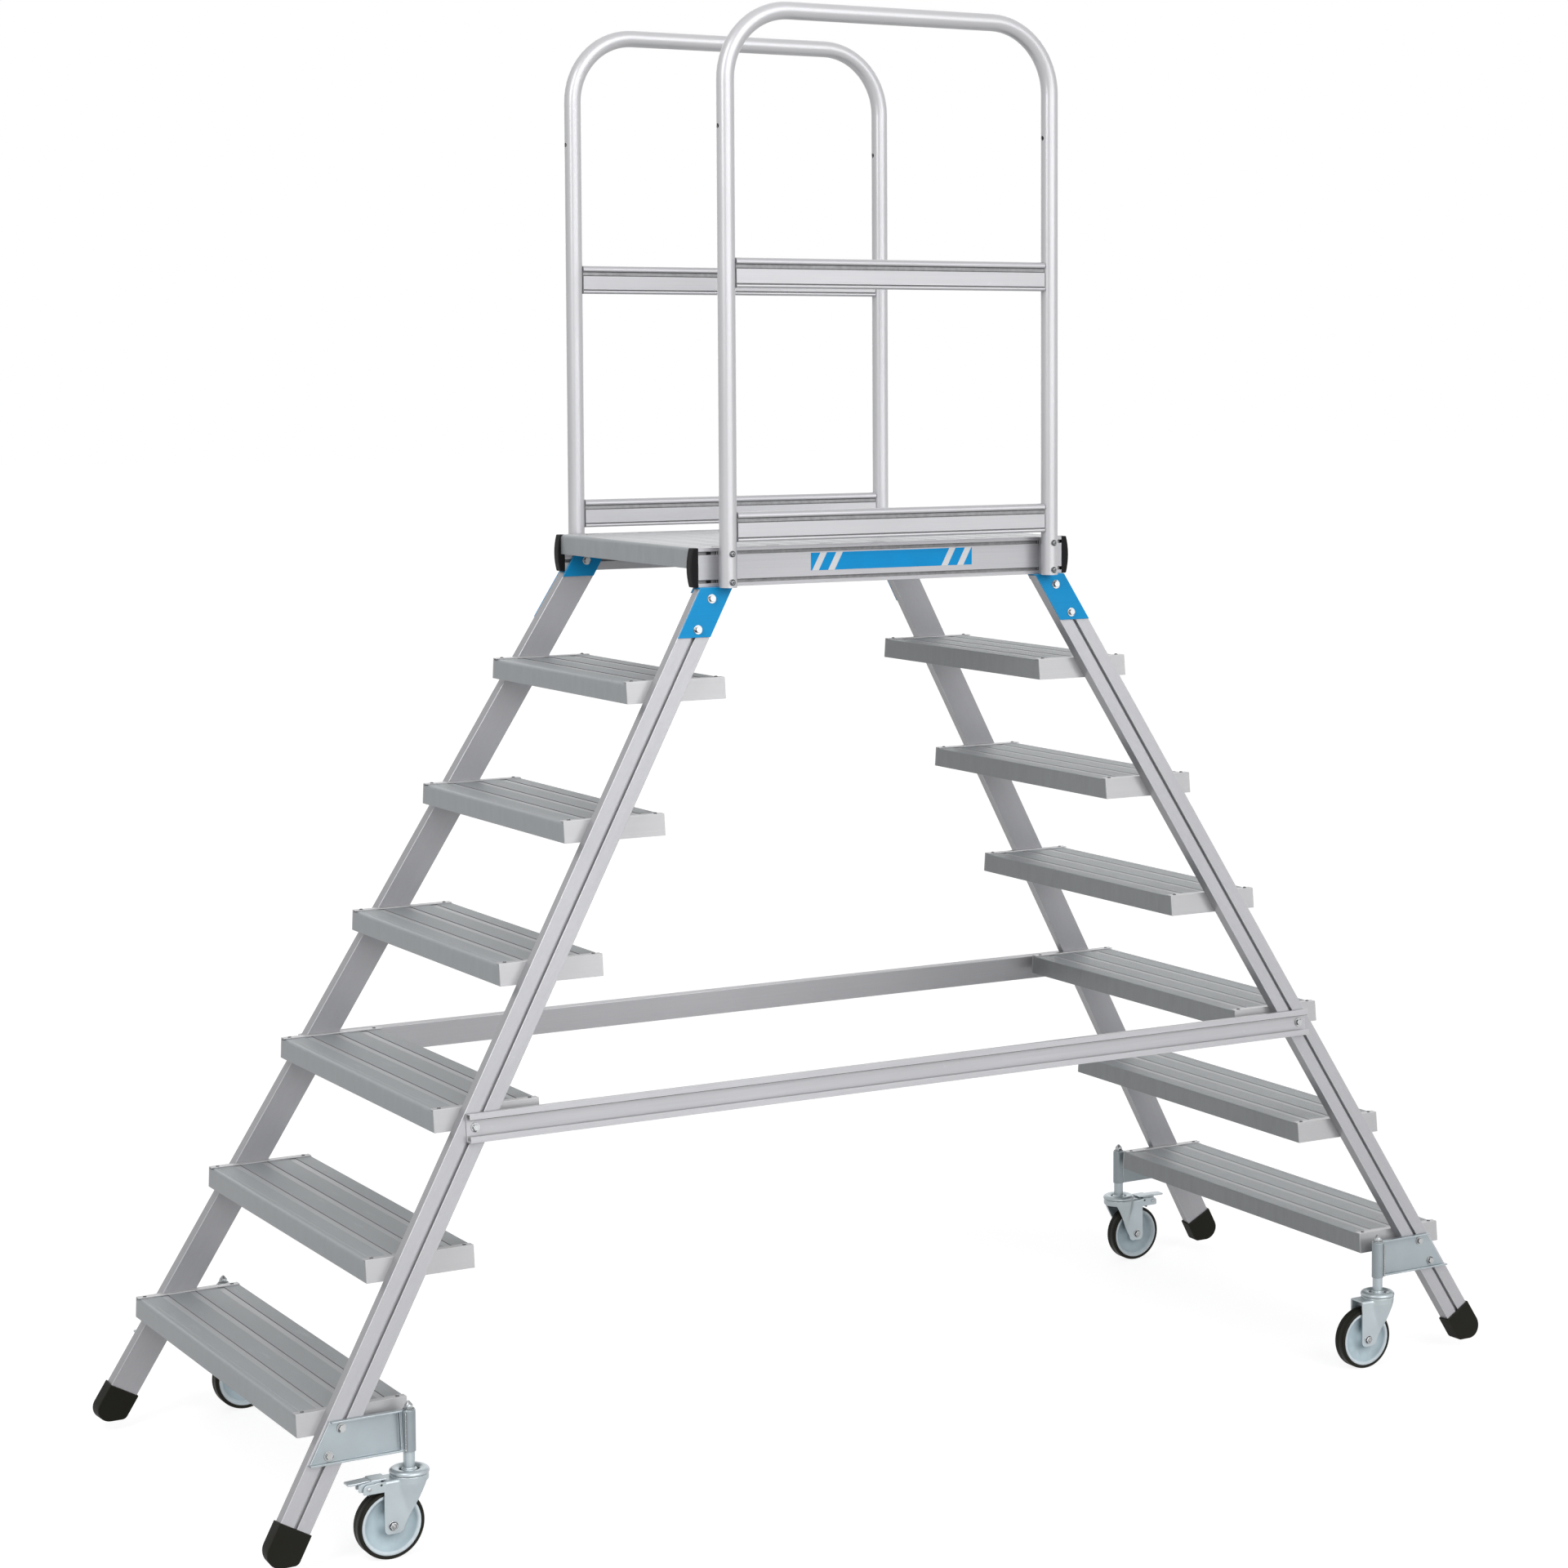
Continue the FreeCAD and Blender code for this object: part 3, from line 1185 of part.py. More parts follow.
def build_fork(label, braked):
    """Rounded head over a folded fork; a braked one also carries the pedal's pin."""
    body = new_body(label)
    crown = "Size.crown_diameter / 2"
    rounding, wall = "Size.crown_round", "Size.fork_plate"
    pin_hole = "(Size.kingpin_diameter / 2 + Size.running_fit)"
    head = new_sketch(body, "XZ_Plane", "head")
    outline(head, [
        (pin_hole, CROWN_BASE),
        (crown, CROWN_BASE),
        (crown, f"{CROWN_TOP} - {rounding}", rounding),
        (f"{crown} - {rounding}", CROWN_TOP),
        ("Size.crown_opening / 2", CROWN_TOP),
        ("Size.crown_opening / 2", f"{CROWN_TOP} - {wall}"),
        (f"{crown} - Size.crown_wall", f"{CROWN_TOP} - {wall}"),
        (f"{crown} - Size.crown_wall", f"{CROWN_BASE} + {wall}"),
        (pin_hole, f"{CROWN_BASE} + {wall}"),
    ])
    revolve(body, head, "V_Axis")
    plate = new_sketch(body, "XY_Plane", "plate", CROWN_BASE)
    back = "Size.wheel_trail + Size.fork_boss_radius"
    box_outline(plate, "-Size.fork_front", f"-{LEG_OUTSIDE}", back, LEG_OUTSIDE)
    pad(body, plate, "Size.fork_plate", "One side")
    for name, offset in (("outer", f"-{LEG_OUTSIDE}"), ("inner", LEG_INSIDE)):
        leg = new_sketch(body, "XZ_Plane", name, offset)
        outline(leg, leg_corners(braked))
        pad(body, leg, "Size.fork_plate", "One side")
    cylinder(body, "kingpin_hole", pin_hole, wall, move(z=CROWN_BASE), cut=True)
    axle = new_sketch(body, "XZ_Plane", "axle_hole")
    circle(axle, "Size.wheel_trail", "Size.wheel_diameter / 2", "Size.axle_diameter / 2")
    pocket_through(body, axle)
    if braked:
        hinge = new_sketch(body, "XZ_Plane", "hinge_pin")
        radius = "Size.pedal_pin_diameter / 2"
        circle(hinge, "Size.pedal_hinge_trail", "Size.pedal_hinge_height", radius)
        pad(body, hinge, f"2 * {LEG_OUTSIDE}")
    return body


def build_axle():
    """Axle bolt through both fork legs, head outward, about the wheel's centre."""
    body = new_body("axle_pattern")
    seat = Placement(Vector(0, measure(LEG_OUTSIDE), 0), OUTWARD)
    shank = f"2 * {LEG_OUTSIDE} + Size.axle_nut_height"
    start = Placement(Vector(0, -measure(f"{LEG_OUTSIDE} + Size.axle_nut_height"), 0), OUTWARD)
    cylinder(body, "shank", "Size.axle_diameter / 2", shank, start)
    hexagon(body, "head", "Size.axle_head_across", "Size.axle_head_height", seat)
    return body


def build_axle_nut():
    body = new_body("axle_nut_pattern")
    start = Placement(Vector(0, -measure(f"{LEG_OUTSIDE} + Size.axle_nut_height"), 0), OUTWARD)
    hexagon(body, "nut", "Size.axle_head_across", "Size.axle_nut_height", start)
    cylinder(body, "thread", "Size.axle_diameter / 2", "Size.axle_nut_height", start, cut=True)
    return body


def mirrored_across(right):
    """Completes a profile that is symmetric about the sketch's upright axis."""
    return right + [(f"-({x})", y) for x, y in right[::-1]]


def build_rim():
    """Wheel centre: hub, disc and rim band, about the wheel's own centre."""
    body = new_body("rim_pattern")
    sketch = new_sketch(body, "YZ_Plane", "half")
    hub_half = f"({LEG_INSIDE} - Size.fork_clearance / 2)"
    band = f"({TYRE_INSIDE} - Size.rim_wall)"
    right = [
        (hub_half, "Size.axle_diameter / 2 + Size.running_fit"),
        (hub_half, "Size.hub_diameter / 2"),
        ("Size.rim_web / 2", "Size.hub_diameter / 2"),
        ("Size.rim_web / 2", band),
        ("Size.rim_width / 2", band),
        ("Size.rim_width / 2", TYRE_INSIDE),
    ]
    outline(sketch, mirrored_across(right))
    revolve(body, sketch, "H_Axis")
    return body


def build_tyre():
    body = new_body("tyre_pattern")
    sketch = new_sketch(body, "YZ_Plane", "half")
    half, radius, shoulder = "Size.wheel_width / 2", "Size.wheel_diameter / 2", "Size.tyre_shoulder"
    outline(sketch, [
        (f"-{half}", TYRE_INSIDE),
        (half, TYRE_INSIDE),
        (half, f"{radius} - {shoulder}", shoulder),
        (f"{half} - {shoulder}", radius),
        (f"-({half} - {shoulder})", radius, shoulder),
        (f"-({half})", f"{radius} - {shoulder}"),
    ])
    revolve(body, sketch, "H_Axis")
    return body


def lobe_point(distance, turn_from_tip):
    """Point of the brake lobe at a distance from the hinge, about the way to the wheel."""
    run = "(Size.wheel_trail - Size.pedal_hinge_trail)"
    drop = "(Size.wheel_diameter / 2 - Size.pedal_hinge_height)"
    angle = f"(atan2({drop}; {run}) + (Size.pedal_throw + {turn_from_tip}) * 1deg)"
    return (f"{distance} * cos{angle}", f"{distance} * sin{angle}")


def build_pedal():
    """Brake lever about its pin: a plate on top and a lobe that closes on the tyre."""
    body = new_body("pedal_pattern")
    barrel, rise, thick = "Size.pedal_barrel_radius", "Size.pedal_plate_rise", "Size.pedal_sheet"
    front, back = "Size.pedal_front", "Size.pedal_back"
    run = "(Size.wheel_trail - Size.pedal_hinge_trail)"
    drop = "(Size.wheel_diameter / 2 - Size.pedal_hinge_height)"
    tyre_gap = f"(sqrt({run} * {run} + {drop} * {drop}) - Size.wheel_diameter / 2)"
    lobe = f"({tyre_gap} - Size.brake_gap)"
    spread = "Size.pedal_lobe_half_angle"
    side = new_sketch(body, "XZ_Plane", "side")
    outline(side, [
        lobe_point(f"({lobe} * 0.85)", f"-{spread}"),
        lobe_point(lobe, "0"),
        lobe_point(f"({lobe} * 0.85)", spread),
        (barrel, "0"),
        (barrel, rise),
        (front, f"{rise} + Size.pedal_tip_rise"),
        (front, f"{rise} + Size.pedal_tip_rise + {thick}"),
        (f"{barrel} - {thick} / 2", f"{rise} + {thick}"),
        (f"-{back}", f"{rise} + {thick}"),
        (f"-{back}", rise),
        (f"-{barrel}", rise),
        (f"-{barrel}", "0"),
    ])
    circle(side, "0", "0", "Size.pedal_pin_diameter / 2 + Size.running_fit")
    pad(body, side, "Size.pedal_width")
    return body


def build_castors():
    """Four castors; the near left and far right ones have a brake."""
    stem, stop, spring = build_stem(), build_stop_nut(), build_spring()
    axle, axle_nut, rim, tyre = build_axle(), build_axle_nut(), build_rim(), build_tyre()
    pedal = build_pedal()
    nodes = []
    for side_name, side, end_name, end in corners_of_stand():
        corner = f"{end_name}_{side_name}"
        place = castor_frame(side, end)
        centre = place * move(x="Size.wheel_trail", z="Size.wheel_diameter / 2")
        braked = side == end
        nodes.append(build_castor_bracket(f"castor_bracket_{corner}", side, end))
        stem_copy = copy_of(stem, f"stem_{corner}", place)
        stop_copy = copy_of(stop, f"stop_nut_{corner}", place)
        nodes.append(group(f"castor_stem_{corner}", [stem_copy, stop_copy]))
        nodes.append(group(f"castor_spring_{corner}", [copy_of(spring, f"coil_{corner}", place)]))
        fork = build_fork(f"castor_fork_{corner}", braked)
        fork.Placement = place
        nodes.append(fork)
        bolt_copy = copy_of(axle, f"axle_bolt_{corner}", centre)
        nut_copy = copy_of(axle_nut, f"axle_nut_{corner}", centre)
        nodes.append(group(f"castor_axle_{corner}", [bolt_copy, nut_copy]))
        nodes.append(group(f"castor_rim_{corner}", [copy_of(rim, f"rim_{corner}", centre)]))
        nodes.append(group(f"castor_tyre_{corner}", [copy_of(tyre, f"tyre_{corner}", centre)]))
        if braked:
            hinge = place * move(x="Size.pedal_hinge_trail", z="Size.pedal_hinge_height")
            nodes.append(group(f"brake_pedal_{corner}", [copy_of(pedal, f"pedal_{corner}", hinge)]))
    return nodes


def check(nodes):
    """Stops if a feature failed, a cut removed nothing or a node is not sound."""
    for item in doc.Objects:
        if "Invalid" in item.State or "Error" in item.State:
            raise RuntimeError(f"{item.Label} failed: {item.State}")
        base = getattr(item, "BaseFeature", None)
        cuts = item.isDerivedFrom("PartDesign::Pocket") or "Subtractive" in item.TypeId
        if cuts and base and item.Shape.Volume >= base.Shape.Volume:
            raise RuntimeError(f"{item.Label} removed nothing")
    for node in nodes:
        if node.Shape.isNull() or not node.Shape.isValid() or not node.Shape.Solids:
            raise RuntimeError(f"{node.Label} has no sound shape")


def main():
    nodes = build_flights() + build_platform() + build_guards_and_struts()
    nodes += build_fasteners() + build_castors()
    doc.recompute()
    check(nodes)
    os.makedirs("parts", exist_ok=True)
    for node in nodes:
        node.Shape.exportStep(f"parts/{node.Label}.step")
    print(len(nodes), "nodes")


main()
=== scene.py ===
"""Looks of a mobile ladder stand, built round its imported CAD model.

Metres, in the CAD frame: +X along the stand, +Y across it, +Z up, Z = 0 at the floor.
Shapes are written in millimetres and scaled when a piece is made.
"""
import json
import math

import bmesh
import bpy
from mathutils import Matrix, Vector
from mathutils.bvhtree import BVHTree


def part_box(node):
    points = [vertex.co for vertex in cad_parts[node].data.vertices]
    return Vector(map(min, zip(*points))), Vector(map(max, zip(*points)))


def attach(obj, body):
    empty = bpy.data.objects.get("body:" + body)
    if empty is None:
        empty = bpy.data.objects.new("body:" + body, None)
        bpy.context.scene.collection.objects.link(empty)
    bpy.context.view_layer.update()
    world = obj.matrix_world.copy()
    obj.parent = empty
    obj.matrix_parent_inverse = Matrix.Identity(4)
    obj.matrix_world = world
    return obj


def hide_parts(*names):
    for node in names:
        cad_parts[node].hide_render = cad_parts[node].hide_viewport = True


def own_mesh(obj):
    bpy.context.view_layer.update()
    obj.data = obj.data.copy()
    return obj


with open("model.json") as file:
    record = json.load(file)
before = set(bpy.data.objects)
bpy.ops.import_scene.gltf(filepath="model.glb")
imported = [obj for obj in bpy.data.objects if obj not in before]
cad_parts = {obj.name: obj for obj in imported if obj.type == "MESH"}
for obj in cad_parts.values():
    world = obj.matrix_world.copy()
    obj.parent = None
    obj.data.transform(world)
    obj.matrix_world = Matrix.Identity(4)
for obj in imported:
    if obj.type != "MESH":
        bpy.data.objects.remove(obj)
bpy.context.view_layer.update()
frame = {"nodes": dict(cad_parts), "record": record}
nodes = frame["nodes"]

SIDES = {"near": -1, "far": 1}
ENDS = {"left": -1, "right": 1}
CORNERS = [(end, side) for end in ENDS for side in SIDES]


# Nodes of a material

class Graph:
    """Short calls that add nodes to a material, or to the world, and link them."""

    def __init__(self, owner, shader="Principled BSDF"):
        owner.use_nodes = True
        self.owner = owner
        self.tree = owner.node_tree
        self.shader = self.tree.nodes[shader]

    def add(self, kind, inputs=None, **settings):
        node = self.tree.nodes.new(kind)
        for key, value in settings.items():
            setattr(node, key, value)
        for key, value in (inputs or {}).items():
            self.put(node.inputs[key], value)
        return node

    def put(self, socket, value):
        if isinstance(value, bpy.types.NodeSocket):
            self.tree.links.new(value, socket)
        else:
            socket.default_value = value

    def set(self, **values):
        for key, value in values.items():
            self.put(self.shader.inputs[key.replace("_", " ")], value)

    def place(self, scale=(1, 1, 1), turn=(0, 0, 0)):
        """Object coordinates, turned and then scaled."""
        coords = self.add("ShaderNodeTexCoord").outputs["Object"]
        turned = self.add("ShaderNodeMapping", {"Vector": coords, "Rotation": turn}).outputs["Vector"]
        return self.add("ShaderNodeMapping", {"Vector": turned, "Scale": scale}).outputs["Vector"]

    def noise(self, scale, detail=2, rough=0.5, stretch=(1, 1, 1), turn=(0, 0, 0)):
        inputs = {"Vector": self.place(stretch, turn), "Scale": scale, "Detail": detail, "Roughness": rough}
        return self.add("ShaderNodeTexNoise", inputs).outputs["Fac"]

    def band(self, value, low, high, to_low=0.0, to_high=1.0):
        """Maps low..high to to_low..to_high, clamped."""
        inputs = {"Value": value, "From Min": low, "From Max": high, "To Min": to_low, "To Max": to_high}
        return self.add("ShaderNodeMapRange", inputs).outputs["Result"]

    def mix(self, factor, first, second, mode="MIX"):
        node = self.add("ShaderNodeMix", data_type="RGBA", blend_type=mode)
        self.put(node.inputs["Factor"], factor)
        self.put(node.inputs[6], first)
        self.put(node.inputs[7], second)
        return node.outputs[2]

    def math(self, operation, first, second=0.0):
        node = self.add("ShaderNodeMath", operation=operation)
        self.put(node.inputs[0], first)
        self.put(node.inputs[1], second)
        return node.outputs[0]

    def bump(self, height, distance, strength=1.0):
        inputs = {"Height": height, "Distance": distance, "Strength": strength}
        self.set(Normal=self.add("ShaderNodeBump", inputs).outputs["Normal"])


def tint(color, factor):
    return tuple(min(1.0, c * factor) for c in color) + (1.0,)


# Materials

LEANS = {"left": math.radians(-30), "right": math.radians(30)}


def satin(name, color, metallic, roughness, along="Z", lean=0.0, line_depth=0.14, relief=0.22):
    """Satin anodised extrusion: fine grain, faint die lines, slight clouding and rare scuffs."""
    g = Graph(bpy.data.materials.new(name))
    stretch = [900.0, 900.0, 900.0]
    stretch["XYZ".index(along)] = 5.0
    turn = (0, lean, 0)
    lines = g.noise(1.0, 2, 0.5, tuple(stretch), turn)
    broad = g.noise(1.0, 2, 0.5, tuple(v * 0.12 for v in stretch), turn)
    cloud = g.noise(4.0, 3, 0.5)
    grain = g.noise(1600.0, 2, 0.7)
    scuff = g.band(g.noise(60.0, 4, 0.7), 0.66, 0.74)
    base = g.mix(g.band(cloud, 0.3, 0.7), tint(color, 0.965), tint(color, 1.035))
    base = g.mix(g.band(lines, 0.3, 0.75, 0.0, line_depth), base, tint(color, 0.6))
    base = g.mix(g.band(broad, 0.35, 0.7, 0.0, line_depth * 0.8), base, tint(color, 1.2))
    base = g.mix(g.band(grain, 0.3, 0.7, 0.0, 0.12), base, tint(color, 0.75))
    base = g.mix(g.math("MULTIPLY", scuff, 0.25), base, tint(color, 1.25))
    rough = g.band(lines, 0.3, 0.7, roughness - 0.05, roughness + 0.06)
    g.set(Base_Color=base, Metallic=metallic, Roughness=rough)
    g.bump(g.math("ADD", g.math("MULTIPLY", lines, 0.6), grain), 0.0001, relief)
    return g.owner


def shadowed(name, color):
    """Painted shade for the inside of a slot or groove: dull dark grey metal, blotchy and faintly streaked.
    """
    g = Graph(bpy.data.materials.new(name))
    blotch = g.noise(90.0, 4, 0.65)
    streak = g.noise(1.0, 2, 0.5, (14.0, 260.0, 260.0))
    base = g.mix(g.band(blotch, 0.35, 0.7), tint(color, 1.12), tint(color, 0.85))
    base = g.mix(g.band(streak, 0.45, 0.7, 0.0, 0.25), base, tint(color, 1.4))
    g.set(Base_Color=base, Metallic=0.2, Roughness=g.band(blotch, 0.3, 0.7, 0.45, 0.65))
    g.set(Specular_IOR_Level=0.2)
    g.bump(blotch, 0.0002, 0.3)
    return g.owner


def knurled(name, color):
    """Tread land: cross-rolled grip pattern, darker in the pits between its points."""
    g = Graph(bpy.data.materials.new(name))
    coords = g.place((1, 1, 1), (0, 0, math.radians(45)))
    waves = []
    for direction in ("X", "Y"):
        inputs = {"Vector": coords, "Scale": 300.0, "Distortion": 0.4}
        waves.append(g.add("ShaderNodeTexWave", inputs, bands_direction=direction).outputs["Fac"])
    points = g.math("MULTIPLY", waves[0], waves[1])
    speckle = g.noise(620.0, 3, 0.7)
    cloud = g.noise(7.0, 3, 0.6)
    scuff = g.noise(1.0, 3, 0.6, (50.0, 9.0, 50.0))
    base = g.mix(g.band(speckle, 0.3, 0.7), tint(color, 0.8), tint(color, 1.16))
    base = g.mix(g.band(points, 0.0, 0.6, 0.4, 0.0), base, tint(color, 0.62))
    base = g.mix(g.band(cloud, 0.35, 0.7, 0.0, 0.3), base, tint(color, 0.86))
    base = g.mix(g.band(scuff, 0.6, 0.8, 0.0, 0.4), base, tint(color, 1.3))
    g.set(Base_Color=base, Metallic=0.35, Roughness=g.band(speckle, 0.3, 0.7, 0.42, 0.6))
    g.bump(g.math("ADD", points, g.math("MULTIPLY", speckle, 0.6)), 0.0005, 0.7)
    return g.owner


def ribbed_front(name, color):
    """Tread front: fine upright ribs with uneven streaks."""
    g = Graph(bpy.data.materials.new(name))
    inputs = {"Vector": g.place(), "Scale": 260.0, "Distortion": 0.0}
    ribs = g.add("ShaderNodeTexWave", inputs, bands_direction="Y").outputs["Fac"]
    streaks = g.noise(1.0, 4, 0.6, (60.0, 40.0, 12.0))
    grain = g.noise(900.0, 2, 0.6)
    base = g.mix(g.band(streaks, 0.3, 0.7), tint(color, 0.9), tint(color, 1.09))
    base = g.mix(g.band(ribs, 0.0, 1.0, 0.08, 0.0), base, tint(color, 0.7))
    g.set(Base_Color=base, Metallic=0.35, Roughness=g.band(streaks, 0.3, 0.7, 0.36, 0.5))
    g.bump(g.math("ADD", ribs, grain), 0.0001, 0.35)
    return g.owner


def plated(name, color, metallic=0.5, roughness=0.34):
    """Zinc plate: smooth, softly clouded, with a faint spangle and a warm cast in places."""
    g = Graph(bpy.data.materials.new(name))
    cloud = g.noise(16.0, 3, 0.5)
    spangle = g.add("ShaderNodeTexVoronoi", {"Vector": g.place(), "Scale": 420.0}).outputs["Distance"]
    fine = g.noise(700.0, 2, 0.5)
    base = g.mix(g.band(cloud, 0.3, 0.7), tint(color, 0.94), tint(color, 1.06))
    warm = (min(1.0, color[0] * 1.05), min(1.0, color[1] * 1.01), color[2] * 0.95, 1.0)
    base = g.mix(g.band(g.noise(9.0, 2), 0.5, 0.75, 0.0, 0.4), base, warm)
    base = g.mix(g.band(spangle, 0.0, 0.9, 0.0, 0.08), base, tint(color, 0.7))
    rough = g.band(cloud, 0.3, 0.7, roughness - 0.04, roughness + 0.06)
    g.set(Base_Color=base, Metallic=metallic, Roughness=rough)
    g.bump(fine, 0.00006, 0.2)
    return g.owner


def moulded(name, color, roughness, grain=0.0002, scale=900.0):
    """Plastic or rubber with a fine moulded grain, dusty and polished in patches."""
    g = Graph(bpy.data.materials.new(name))
    cloud = g.noise(14.0, 4, 0.6)
    grain_noise = g.noise(scale, 2, 0.6)
    dust = g.band(g.noise(45.0, 5, 0.7), 0.58, 0.75, 0.0, 0.25)
    base = g.mix(g.band(cloud, 0.3, 0.7), tint(color, 0.85), tint(color, 1.15))
    base = g.mix(dust, base, tint(color, 1.5))
    g.set(Base_Color=base, Roughness=g.band(cloud, 0.3, 0.7, roughness - 0.06, roughness + 0.08))
    g.set(Specular_IOR_Level=0.12)
    g.bump(grain_noise, grain, 0.4)
    return g.owner


def painted(name, color, line_depth=0.25):
    """Smooth coat over rolled sheet: faint level lines and a little orange peel."""
    g = Graph(bpy.data.materials.new(name))
    peel = g.noise(420.0, 2, 0.5)
    lines = g.noise(1.0, 2, 0.5, (3.0, 3.0, 300.0))
    cloud = g.noise(20.0, 3)
    base = g.mix(g.band(cloud, 0.3, 0.7), tint(color, 0.96), tint(color, 1.04))
    base = g.mix(g.band(lines, 0.5, 0.7, 0.0, line_depth), base, tint(color, 0.8))
    g.set(Base_Color=base, Roughness=g.band(cloud, 0.3, 0.7, 0.38, 0.5))
    g.set(Specular_IOR_Level=0.15)
    g.bump(g.math("ADD", peel, lines), 0.0001, 0.25)
    return g.owner


PROFILE = (0.44, 0.44, 0.46)
STILE = (0.40, 0.40, 0.42)
BLUE = (0.004, 0.285, 0.62)
ZINC = (0.47, 0.53, 0.56)

materials = {}


def add_look(name, maker, *values, **options):
    materials[name] = maker(name, *values, **options)


add_look("profile_aluminium", satin, PROFILE, 0.35, 0.38, "X")
add_look("profile_left", satin, STILE, 0.35, 0.38, "Z", LEANS["left"])
add_look("profile_right", satin, STILE, 0.35, 0.38, "Z", LEANS["right"])
add_look("profile_edge", satin, (0.60, 0.60, 0.62), 0.4, 0.3, "X")
add_look("tube_aluminium", satin, (0.57, 0.57, 0.59), 0.3, 0.33, "Z", line_depth=0.03, relief=0.0)
add_look("guard_aluminium", satin, (0.49, 0.49, 0.51), 0.35, 0.36, "X")
add_look("plate_aluminium", satin, (0.43, 0.43, 0.44), 0.3, 0.36, "X", line_depth=0.06)
add_look("tread_aluminium", satin, (0.36, 0.365, 0.375), 0.4, 0.32, "Y")
add_look("tread_plain", satin, (0.42, 0.435, 0.45), 0.2, 0.45, "Y")
add_look("tread_knurled", knurled, (0.38, 0.40, 0.415))
# Lighter copies of the tread looks for the deck: painted light on the deck
add_look("deck_plain", satin, (0.56, 0.57, 0.585), 0.3, 0.34, "X")
add_look("deck_knurled", knurled, (0.66, 0.67, 0.685))
add_look("tread_front", ribbed_front, (0.33, 0.35, 0.365))
# Darker copy of tread_front: painted shade on the treads' back faces
add_look("tread_back", ribbed_front, (0.27, 0.282, 0.29))
# Painted shade for slots, grooves and recesses, in a dark and a lighter tone
add_look("slot_shadow", shadowed, (0.12, 0.12, 0.125))
add_look("groove_shadow", shadowed, (0.32, 0.32, 0.33))
add_look("blue_steel", painted, BLUE)
add_look("blue_edge", painted, (0.10, 0.42, 0.72))
add_look("label_film", painted, (0.003, 0.30, 0.68), 0.08)
add_look("label_white", painted, (0.74, 0.75, 0.76), 0.05)
add_look("zinc_steel", plated, ZINC)
add_look("zinc_bracket", plated, (0.31, 0.355, 0.38), 0.45)
add_look("zinc_edge", plated, (0.62, 0.68, 0.71), 0.6, 0.28)
add_look("bright_steel", plated, (0.36, 0.37, 0.375), 0.8, 0.26)
add_look("steel_edge", plated, (0.62, 0.63, 0.64), 0.85, 0.2)
# Dark copy of bright_steel: painted shade on the sides of bolts, rivets and nuts
add_look("bolt_side", plated, (0.09, 0.095, 0.10), 0.7, 0.3)
add_look("dark_steel", plated, (0.03, 0.03, 0.032), 0.3, 0.5)
add_look("black_plastic", moulded, (0.004, 0.004, 0.005), 0.5)
add_look("plastic_edge", moulded, (0.016, 0.016, 0.018), 0.38)
add_look("rim_plastic", moulded, (0.50, 0.60, 0.65), 0.3, 0.00005)
add_look("rim_ring", moulded, (0.66, 0.74, 0.78), 0.3, 0.00003)
add_look("foot_rubber", moulded, (0.008, 0.0078, 0.005), 0.6)
add_look("rubber_edge", moulded, (0.02, 0.019, 0.015), 0.5)
add_look("tyre_rubber", moulded, (0.015, 0.0145, 0.011), 0.5, 0.0001)

# The brighter look of the rounded edges of a finish
worn_edges = {
    "profile_aluminium": "profile_edge",
    "guard_aluminium": "profile_edge",
    "profile_left": "profile_edge",
    "profile_right": "profile_edge",
    "plate_aluminium": "profile_edge",
    "blue_steel": "blue_edge",
    "zinc_steel": "zinc_edge",
    "zinc_bracket": "zinc_edge",
    "bright_steel": "steel_edge",
    "black_plastic": "plastic_edge",
    "foot_rubber": "rubber_edge",
}

for entry in frame["record"]["subparts"]:
    node = nodes[entry["node"]]
    node.data.materials.clear()
    node.data.materials.append(materials[entry["material_slot"]])


# Mesh building blocks

MM = 0.001
SMOOTH_BELOW = 35                   # degrees; sharper edges stay sharp in shading
BEVEL_FROM = math.radians(32)       # flatter edges stay as they are
SAME_POINT = 0.000002               # vertices closer than this are one, in metres


def loft(rings, loop=False):
    """Skins equal rings of points; loop joins the last ring to the first, otherwise both ends are closed."""
    points = [Vector(point) for ring in rings for point in ring]
    count, faces = len(rings[0]), []
    pairs = len(rings) if loop else len(rings) - 1
    for i in range(pairs):
        here, there = i * count, (i + 1) % len(rings) * count
        for j in range(count):
            k = (j + 1) % count
            faces.append((here + j, here + k, there + k, there + j))
    if not loop:
        faces.append(tuple(reversed(range(count))))
        faces.append(tuple(range(len(points) - count, len(points))))
    return points, faces


def placed(part, matrix):
    points, faces = part
    if matrix.determinant() < 0:
        faces = [tuple(reversed(face)) for face in faces]
    return [matrix @ point for point in points], faces


def moved(parts, matrix):
    """Parts with their looks, all moved alike."""
    return [(*placed(part[:2], matrix), part[2]) for part in parts]


def box_of(node):
    """Lower and upper corner of a node's box, in millimetres."""
    return [corner * 1000 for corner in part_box(node)]


def lathe(profile, segments=64):
    """Turns a closed (radius, height) outline about Z."""
    rings = []
    for i in range(segments):
        angle = math.tau * i / segments
        rings.append([(r * math.cos(angle), r * math.sin(angle), z) for r, z in profile])
    return loft(rings, loop=True)


def prism(outline, low, high):
    """Extrudes an (x, y) outline from z = low to z = high."""
    return loft([[(x, y, low) for x, y in outline], [(x, y, high) for x, y in outline]])


def arc(centre, radius, start, end, steps=8):
    """Points of an arc, with its angles in degrees."""
    angles = [math.radians(start + (end - start) * i / steps) for i in range(steps + 1)]
    return [(centre[0] + radius * math.cos(a), centre[1] + radius * math.sin(a)) for a in angles]


def oval(centre, radii, degrees):
    """Points of an upright oval at the given angles."""
    return [(centre[0] + radii[0] * math.cos(a), centre[1] + radii[1] * math.sin(a))
            for a in (math.radians(d) for d in degrees)]


